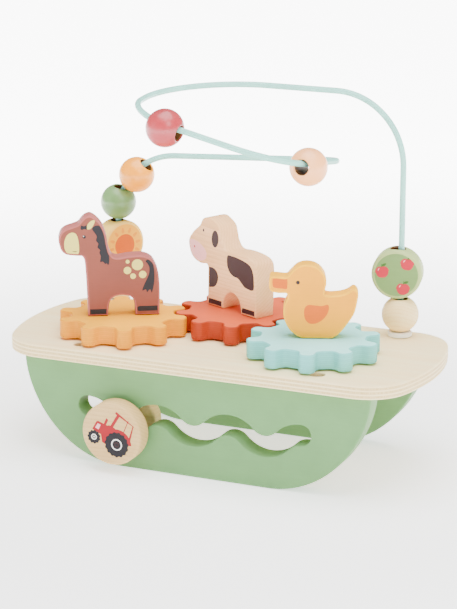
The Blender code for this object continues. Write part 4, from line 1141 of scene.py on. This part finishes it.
def cow_prints():
    saddle = smooth_outline([
        (0.584, 0.628), (0.640, 0.634), (0.720, 0.630), (0.806, 0.616), (0.876, 0.596),
        (0.926, 0.560), (0.954, 0.490), (0.962, 0.410), (0.960, 0.330), (0.930, 0.306),
        (0.880, 0.308), (0.826, 0.322), (0.776, 0.362), (0.730, 0.398), (0.668, 0.408),
        (0.614, 0.440), (0.580, 0.500), (0.572, 0.570),
    ])
    chest = smooth_outline([
        (0.290, 0.418), (0.330, 0.438), (0.384, 0.434), (0.426, 0.400), (0.443, 0.345),
        (0.430, 0.280), (0.392, 0.228), (0.345, 0.212), (0.292, 0.208), (0.286, 0.310),
    ])
    muzzle = smooth_outline([
        (-0.020, 0.696), (0.024, 0.694), (0.084, 0.700), (0.150, 0.686), (0.214, 0.652),
        (0.262, 0.604), (0.270, 0.556), (0.252, 0.512), (0.204, 0.484), (0.130, 0.474),
        (0.060, 0.480), (0.000, 0.560),
    ])
    nostril = ellipse(0.092, 0.624, 0.010, 0.014, 20, 16)
    ear = ellipse(0.399, 0.774, 0.050, 0.098, -4)
    eye = ellipse(0.228, 0.839, 0.011, 0.017, 0, 20)
    hooves = [band(0.250, 0.530, -0.060, 0.076), band(0.765, 1.020, -0.060, 0.078)]
    dark = [saddle, chest, ear, eye] + hooves
    return [(muzzle, 3)] + [(shape, 2) for shape in dark] + [(nostril, 4)]


def duck_prints():
    beak = smooth_outline([
        (0.036, 0.800), (0.050, 0.844), (0.100, 0.852), (0.150, 0.836), (0.194, 0.834),
        (0.203, 0.790), (0.203, 0.720), (0.194, 0.672), (0.130, 0.676), (0.050, 0.690),
        (0.034, 0.740),
    ])
    wing = smooth_outline([
        (0.394, 0.352), (0.404, 0.420), (0.442, 0.458), (0.510, 0.454), (0.590, 0.446),
        (0.664, 0.462), (0.676, 0.400), (0.650, 0.320), (0.597, 0.248), (0.524, 0.204),
        (0.456, 0.206), (0.408, 0.262),
    ])
    return [(beak, 2), (wing, 2), (even(0.322, 0.761, 1.25, DUCK), 3)]


def build_carousels():
    rows = (
        ("yellow_gear", (yellow_gear, yellow_gear_shaded_side), "horse", HORSE, "horse_paint",
         (horse_face, horse_rim_tone_and_highlight, charcoal, cream, white_ink), horse_prints()),
        ("red_gear", (red_gear, red_gear_shaded_side), "cow", COW, "natural_beech",
         (beech, beech, plum, pink, apple_red), cow_prints()),
        ("blue_gear", (blue_gear, blue_gear_shaded_side), "duck", DUCK, "duck_paint",
         (duck_face, duck_rim_tone_and_highlight, orange, charcoal), duck_prints()),
    )
    for index, (gear, top_and_shaded_side, name, figure, slot, paints, prints) in enumerate(rows):
        body = name + "_carousel"
        build_gear(gear, body, index, top_and_shaded_side, figure)
        build_axle(gear, body, index)
        build_figure(name, body, index, figure, paints, prints)


# Wire, beads and discs

def wire_corners():
    points = [
        Vector((TOP_SHIFT + along * HALF_SPAN, deep * POST_DEPTH, DECK_TOP + high * WIRE_RISE))
        for along, deep, high in WIRE_CORNER_SHARES
    ]
    foot = DECK_BOTTOM - WIRE_FOOT
    first, last = points[0], points[-1]
    return [Vector((first.x, first.y, foot))] + points + [Vector((last.x, last.y, foot))]


def wire_bends():
    """The arc at each corner of the wire: its centre, axis, start, angle and heading."""
    corners = wire_corners()
    bends = []
    for index, radius in enumerate(BEND_RADII):
        before, here, after = corners[index:index + 3]
        incoming = (here - before).normalized()
        outgoing = (after - here).normalized()
        turn = incoming.angle(outgoing)
        axis = incoming.cross(outgoing).normalized()
        start = here - incoming * (radius * math.tan(turn / 2))
        bends.append({
            "centre": start + axis.cross(incoming) * radius, "axis": axis, "start": start,
            "turn": turn, "radius": radius, "incoming": incoming,
        })
    return bends


def on_bend(bend, angle, inwards=0):
    """The place and the heading after some angle along a bend, or that far inside it."""
    spin = Matrix.Rotation(angle, 3, bend["axis"])
    arm = (bend["start"] - bend["centre"]) * ((bend["radius"] - inwards) / bend["radius"])
    return bend["centre"] + spin @ arm, spin @ bend["incoming"]


def build_wire(sides=24):
    corners = wire_corners()
    path = [corners[0]]
    for bend in wire_bends():
        steps = max(8, round(math.degrees(bend["turn"]) / BEND_STEP))
        path += [on_bend(bend, bend["turn"] * step / steps)[0] for step in range(steps + 1)]
    path.append(corners[-1])
    bm = bmesh.new()
    across = (path[1] - path[0]).orthogonal().normalized()
    rings = []
    for index, point in enumerate(path):
        before = path[max(index - 1, 0)]
        after = path[min(index + 1, len(path) - 1)]
        heading = ((point - before).normalized() + (after - point).normalized()).normalized()
        across = (across - heading * across.dot(heading)).normalized()
        upright = heading.cross(across)
        rings.append([bm.verts.new(point + across * x + upright * y)
                      for x, y in circle(WIRE / 2, sides)])
    for lower, upper in zip(rings, rings[1:]):
        bridge(bm, lower, upper)
    bm.faces.new(rings[0])
    bm.faces.new(rings[-1])
    wire = add_piece("bent_wire", bm, [aqua], over_deck(0, 0, 0))
    settle(wire, "table", "wire_frame")


def build_collars():
    inner = WIRE / 2 + GAP
    outer = COLLAR / 2
    shoulder = (outer - COLLAR_ROUND, COLLAR_HEIGHT - COLLAR_ROUND)
    profile = [(inner, 0), (outer - COLLAR_EASE, 0), (outer, COLLAR_EASE)]
    profile += quarter(shoulder, COLLAR_ROUND, 0, 90, 6)
    profile += [(inner + COLLAR_EASE, COLLAR_HEIGHT), (inner, COLLAR_HEIGHT - COLLAR_EASE)]
    for name, x in zip(("wire_collar_left", "wire_collar_right"), POSTS):
        collar = add_piece(name + "_finish", turned(profile, 56, ring=True), [white],
                           over_deck(x, POST_DEPTH, DECK_TOP + GAP))
        settle(collar, "table", name)


def bead_mesh():
    """A ball with a straight bore and softly rounded mouths. The bore has tone 1, which carries painted
    shade.
    """
    radius = BEAD / 2
    bore = BORE / 2
    mouth = bore + MOUTH_ROUND
    ring = math.sqrt((radius - MOUTH_ROUND) ** 2 - mouth ** 2)
    reach = math.degrees(math.atan2(ring, mouth))
    outer = quarter((0, 0), radius, -reach, reach, 30)
    top = quarter((mouth, ring), MOUTH_ROUND, reach, 180, 7)
    bottom = [(x, -z) for x, z in reversed(top)]
    profile = outer + top[1:] + bottom[:-1]
    tones = [0] * (len(outer) + len(top) - 2) + [1] + [0] * (len(bottom) - 1)
    return turned(profile, 64, ring=True, tones=tones)


def add_bead(name, body, paint, spot, direction, spin=0.0):
    turn = direction.to_track_quat("Z", "Y").to_matrix().to_4x4()
    bead = add_piece(name + "_ball", bead_mesh(), [paint, painted_bore_shade],
                     over_deck(*spot) @ turn @ turn_z(spin))
    settle(bead, body, name)


def build_beads():
    up = Vector((0, 0, 1))
    for side, x, spin in zip(("left", "right"), POSTS, NATURAL_TURNS):
        add_bead("natural_bead_" + side, side + "_post_bead", pale_beech,
                 (x, POST_DEPTH, POST_BEAD_Z), up, spin)
    bends = wire_bends()
    bend = bends[2]
    play = HALF_BORE ** 2 / (4 * bend["radius"])
    spot, heading = on_bend(bend, bend["turn"] * RED_SHARE, play)
    spot = spot - bend["axis"] * BEAD_HANG
    add_bead("red_bead", "front_bend_bead", red_bead, spot, heading)
    start, heading = on_bend(bends[3], bends[3]["turn"])
    down = (heading * heading.z - up).normalized()
    spot = start.lerp(bends[4]["start"], PEACH_SHARE) + down * BEAD_HANG
    add_bead("peach_bead", "side_run_bead", peach_bead, spot, heading)
    bend = bends[5]
    green_reach = bend["radius"] + GREEN_LEAN
    yellow_reach = bend["radius"] - YELLOW_LEAN
    square = green_reach ** 2 + yellow_reach ** 2 - (BEAD + GAP) ** 2
    step = math.acos(square / (2 * green_reach * yellow_reach))
    rest = PICTURE_Z + PICTURE / 2 + GAP + BEAD / 2
    angle = bend["turn"] - math.asin((rest - bend["centre"].z) / green_reach)
    spot, heading = on_bend(bend, angle, -GREEN_LEAN)
    add_bead("green_bead", "left_bend_lower_bead", green_bead, spot, heading)
    spot, heading = on_bend(bend, angle - step, YELLOW_LEAN)
    add_bead("yellow_bead", "left_bend_upper_bead", yellow_bead, spot, heading)


def picture_disc(name, body, x, facing, paints, prints):
    """paints: face, rim, then one for each printed tone, and the bore's dark wood, painted shade, last.
    """
    half = PICTURE_THICKNESS / 2
    bm = plate([circle(PICTURE / 2)], -half, half, [PICTURE_EDGE], 9, STANDING, 1, prints, prints)
    reach = PICTURE / 2
    bore = BORE / 2
    mouth = bore + PICTURE_MOUTH
    upper = [(bore, reach - 2 * PICTURE_MOUTH), (mouth, reach - PICTURE_MOUTH),
             (mouth, reach + OVER), (0, reach + OVER)]
    cutter = turned([(x, -z) for x, z in reversed(upper)] + upper, FINE_SIDES)
    for face in cutter.faces:
        face.material_index = len(paints) - 1
    place = over_deck(x, POST_DEPTH, PICTURE_Z) @ turn_z(facing)
    disc = add_piece(name + "_wheel", bm, paints, place, cutter)
    settle(disc, body, name)


def apple_prints(steps=40):
    """Three plain apples, each with a stalk, a leaf and a shine."""
    body = []
    for index in range(steps):
        angle = math.tau * index / steps + math.pi / 2
        from_top = index - steps if index > steps / 2 else index
        dip = 0.16 * math.exp(-(from_top / 2.6) ** 2)
        base = 0.07 * math.exp(-((index - steps / 2) / 2.2) ** 2)
        reach = 1.0 - dip - base
        squash = 1.06 if math.sin(angle) > 0 else 0.94
        body.append((reach * squash * math.cos(angle), 0.96 * reach * math.sin(angle)))
    stalk = [(-0.08, 0.70), (0.08, 0.70), (0.10, 1.22), (-0.02, 1.25)]
    blade = smooth_outline([
        (0.02, 0.92), (0.26, 1.24), (0.74, 1.26), (0.52, 0.94), (0.22, 0.84),
    ])
    shine = smooth_outline([(-0.62, 0.20), (-0.56, 0.46), (-0.36, 0.62), (-0.46, 0.36)])
    unit = PICTURE / 2
    shapes = []
    size = APPLE_SIZE_SHARE * unit
    for x, z, turn in APPLE_PLACE_SHARES:
        for points, tone in ((body, 2), (stalk, 3), (blade, 3), (shine, 4)):
            shapes.append((moved(points, x * unit, z * unit, size, turn), tone))
    return shapes


def sun_prints():
    """A plain sun: a disc and a circle of short rays."""
    unit = PICTURE / 2
    z = SUN_LOW_SHARE * unit
    disc = SUN_DISC_SHARE * unit
    shapes = [(ellipse(0, z, disc, disc, 0, 56), 2)]
    ray = smooth_outline([
        (-0.050, 0.555), (0.050, 0.555), (0.062, 0.66), (0.030, 0.76), (-0.030, 0.76),
        (-0.062, 0.66),
    ])
    for index in range(SUN_RAYS):
        shapes.append((moved(ray, 0, z, unit, 360 * index / SUN_RAYS + SUN_RAY_TURN), 3))
    return shapes


def tractor_prints():
    """A plain tractor seen from the side, nose to the left, on a slope. Its measures are
    shares of the disc's radius, from the middle of the rear wheel."""
    rear, front = (0.0, 0.0), (-0.86, -0.155)

    def wheel(centre, radius, sides=44):
        return ellipse(*centre, radius, radius, 0, sides)

    def tyre(centre, radius, lugs, depth):
        points = []
        for index in range(lugs * 4):
            reach = radius if index % 4 < 2 else radius - depth
            angle = math.tau * index / (lugs * 4)
            points.append((centre[0] + reach * math.cos(angle), centre[1] + reach * math.sin(angle)))
        return points

    hull = [
        (-1.02, 0.08), (-0.98, 0.40), (-0.93, 0.46), (-0.56, 0.47), (-0.50, 0.52), (-0.28, 0.52),
        (-0.10, 0.40), (0.10, 0.10), (-0.20, -0.20), (-0.52, -0.18), (-0.66, 0.06),
    ]
    pipe = [(-0.70, 0.44), (-0.61, 0.44), (-0.60, 0.66), (-0.63, 0.70), (-0.69, 0.70)]
    screen = [(-0.46, 0.48), (-0.35, 0.48), (-0.26, 1.02), (-0.37, 1.02)]
    back_post = [(0.33, 0.30), (0.42, 0.30), (0.42, 1.02), (0.34, 1.02)]
    middle_post = [(0.055, 0.30), (0.085, 0.30), (0.095, 1.02), (0.065, 1.02)]
    roof = [(-0.44, 1.01), (0.48, 1.01), (0.52, 1.045), (0.49, 1.09), (-0.42, 1.10), (-0.46, 1.06)]
    fender = quarter((0, 0), 0.56, 25, 158, 18) + quarter((0, 0), 0.40, 158, 25, 18)
    lamp = [(-0.94, 0.18), (-0.80, 0.18), (-0.79, 0.37), (-0.91, 0.37)]
    shapes = [(points, 2) for points in (hull, pipe, screen, back_post, middle_post, roof, fender)]
    shapes += [
        (lamp, 5), (tyre(rear, 0.455, 15, 0.030), 3), (wheel(rear, 0.205), 4),
        (wheel(rear, 0.160), 3), (wheel(rear, 0.095), 6), (wheel(rear, 0.050), 3),
        (tyre(front, 0.250, 11, 0.026), 3), (wheel(front, 0.105), 4), (wheel(front, 0.068), 3),
        (wheel(front, 0.030), 4),
    ]
    x, z = (share * TRACTOR_UNIT for share in TRACTOR_PLACE_SHARES)
    return [(moved(points, x, z, TRACTOR_UNIT, TRACTOR_SLOPE), tone) for points, tone in shapes]


def build_discs():
    left, right = POSTS
    picture_disc("apple_disc", "right_post_disc", right - APPLE_LEAN, APPLE_FACING,
                 (apple_face, apple_rim, apple_red, leaf, pink, painted_bore_shade), apple_prints())
    picture_disc("sun_disc", "left_post_disc", left, SUN_FACING,
                 (sun_face, sun_rim, deep_orange, gold, painted_bore_shade), sun_prints())


# Slider

def build_slider():
    """The disc before the panel, the peg through the slot, the disc behind, and its screw."""
    height = SLOT_MIDDLE - SLOT_SWING - SLOT_WIDTH / 2 + PEG_DIAMETER / 2 + GAP
    place = over_deck(-SLOT_HALF + SLOT_WAVE / 2, 0, height)
    bore = SHANK / 2 + GAP
    back = PANEL_OUTER + FRONT_PLAY
    inner = circle(SLIDER_DIAMETER / 2 - SLIDER_EDGE, 128)
    shapes = [(keep_within(points, inner, SLIDER_PRINT_MARGIN), tone)
              for points, tone in tractor_prints()]
    bm = plate([circle(SLIDER_DIAMETER / 2, 128)], back, back + SLIDER_THICKNESS, [SLIDER_EDGE], 9,
               STANDING, 0, shapes)
    pilot = bmesh.new()
    drill(pilot, bore, back - OVER, back + SLIDER_SCREW_BITE + GAP, STANDING, 24)
    paints = (disc_wood, disc_wood, tractor_red, charcoal, white_ink, pink, plum)
    disc = add_piece("tractor_disc", bm, paints, place, pilot)
    settle(disc, "slider", "slider_disc")

    low = PANEL_INNER - BACK_PLAY + GAP
    high = back - GAP
    tube = [(bore, low)] + eased(PEG_DIAMETER / 2, low, high, PEG_EASE) + [(bore, high)]
    peg = add_piece("slot_peg", turned(tube, FINE_SIDES, turn=STANDING, ring=True), [pale_beech], place)
    settle(peg, "slider", "slider_peg")

    high = PANEL_INNER - BACK_PLAY
    low = high - RETAINER_THICKNESS
    edge = RETAINER_EDGE
    rim = RETAINER_DIAMETER / 2 - edge
    profile = [(0, low)] + quarter((rim, low + edge), edge, -90, 0, 6)
    profile += quarter((rim, high - edge), edge, 0, 90, 6) + [(0, high)]
    shelf = low + SLIDER_SCREW_SINK
    head = HEAD / 2 + 2 * GAP
    stepped = [(0, low - OVER), (head, low - OVER), (head, shelf), (bore, shelf),
               (bore, high + OVER), (0, high + OVER)]
    keeper = add_piece("slot_keeper", turned(profile, 96, turn=STANDING), [pale_beech], place,
                       turned(stepped, 40, turn=STANDING))
    settle(keeper, "slider", "slider_retaining_disc")

    seat = shelf - GAP
    flip = STANDING @ at(0, 0, seat - HEAD_HEIGHT) @ Matrix.Rotation(math.pi, 4, "X")
    add_screw("keeper_fixing", back + SLIDER_SCREW_BITE - seat, place @ flip, "slider",
              "slider_screw")


# Stage

def build_floor():
    """A pale floor that glows more the further it lies from the object, to fade to white."""
    bm = bmesh.new()
    corners = ((-1, -1), (1, -1), (1, 1), (-1, 1))
    bm.faces.new([bm.verts.new((x * FLOOR_REACH, y * FLOOR_REACH, 0)) for x, y in corners])
    recipe = Recipe("pale_floor", 0.6, FLOOR_GLOSS, Emission_Color=(1, 1, 1, 1))
    away = recipe.add("ShaderNodeVectorMath", {0: recipe.place}, operation="LENGTH").outputs[1]
    glow = recipe.spread(away, FLOOR_NEAR, FLOOR_FAR, FLOOR_NEAR_GLOW, FLOOR_FAR_GLOW)
    recipe.tree.links.new(glow, recipe.shader.inputs["Emission Strength"])
    tone = recipe.noise((3, 3, 3))
    paint = recipe.finish(recipe.mix(tone, shade(FLOOR_TONE, 0.985), FLOOR_TONE))
    add_piece("floor", bm, [paint], IDENTITY)


def build_light():
    world = bpy.data.worlds.new("studio")
    bpy.context.scene.world = world
    world.use_nodes = True
    background = world.node_tree.nodes["Background"]
    background.inputs["Color"].default_value = (1, 1, 1, 1)
    background.inputs["Strength"].default_value = WORLD_STRENGTH
    for name, spot, size, power, colour in LIGHTS:
        lamp = bpy.data.lights.new(name, "AREA")
        lamp.shape = "RECTANGLE"
        lamp.size, lamp.size_y = size
        lamp.energy = power
        lamp.color = colour
        light = bpy.data.objects.new(name, lamp)
        bpy.context.collection.objects.link(light)
        light.location = spot
        towards = LIGHT_TARGET - Vector(spot)
        light.rotation_euler = towards.to_track_quat("-Z", "Y").to_euler()


def build_camera():
    camera = bpy.data.objects.new("camera", bpy.data.cameras.new("camera"))
    bpy.context.collection.objects.link(camera)
    camera.location = CAMERA_PLACE
    camera.rotation_euler = (math.radians(90 - CAMERA_DOWN), 0, math.radians(CAMERA_ROUND))
    camera.data.sensor_fit = "VERTICAL"
    camera.data.sensor_height = CAMERA_SENSOR
    camera.data.lens = CAMERA_LENS
    bpy.context.scene.camera = camera


build_deck()
build_panel("front_side", "front_panel", -1)
build_panel("back_side", "back_panel", 1)
build_deck_screws()
build_carousels()
build_wire()
build_collars()
build_beads()
build_discs()
build_slider()
build_floor()
build_light()
build_camera()
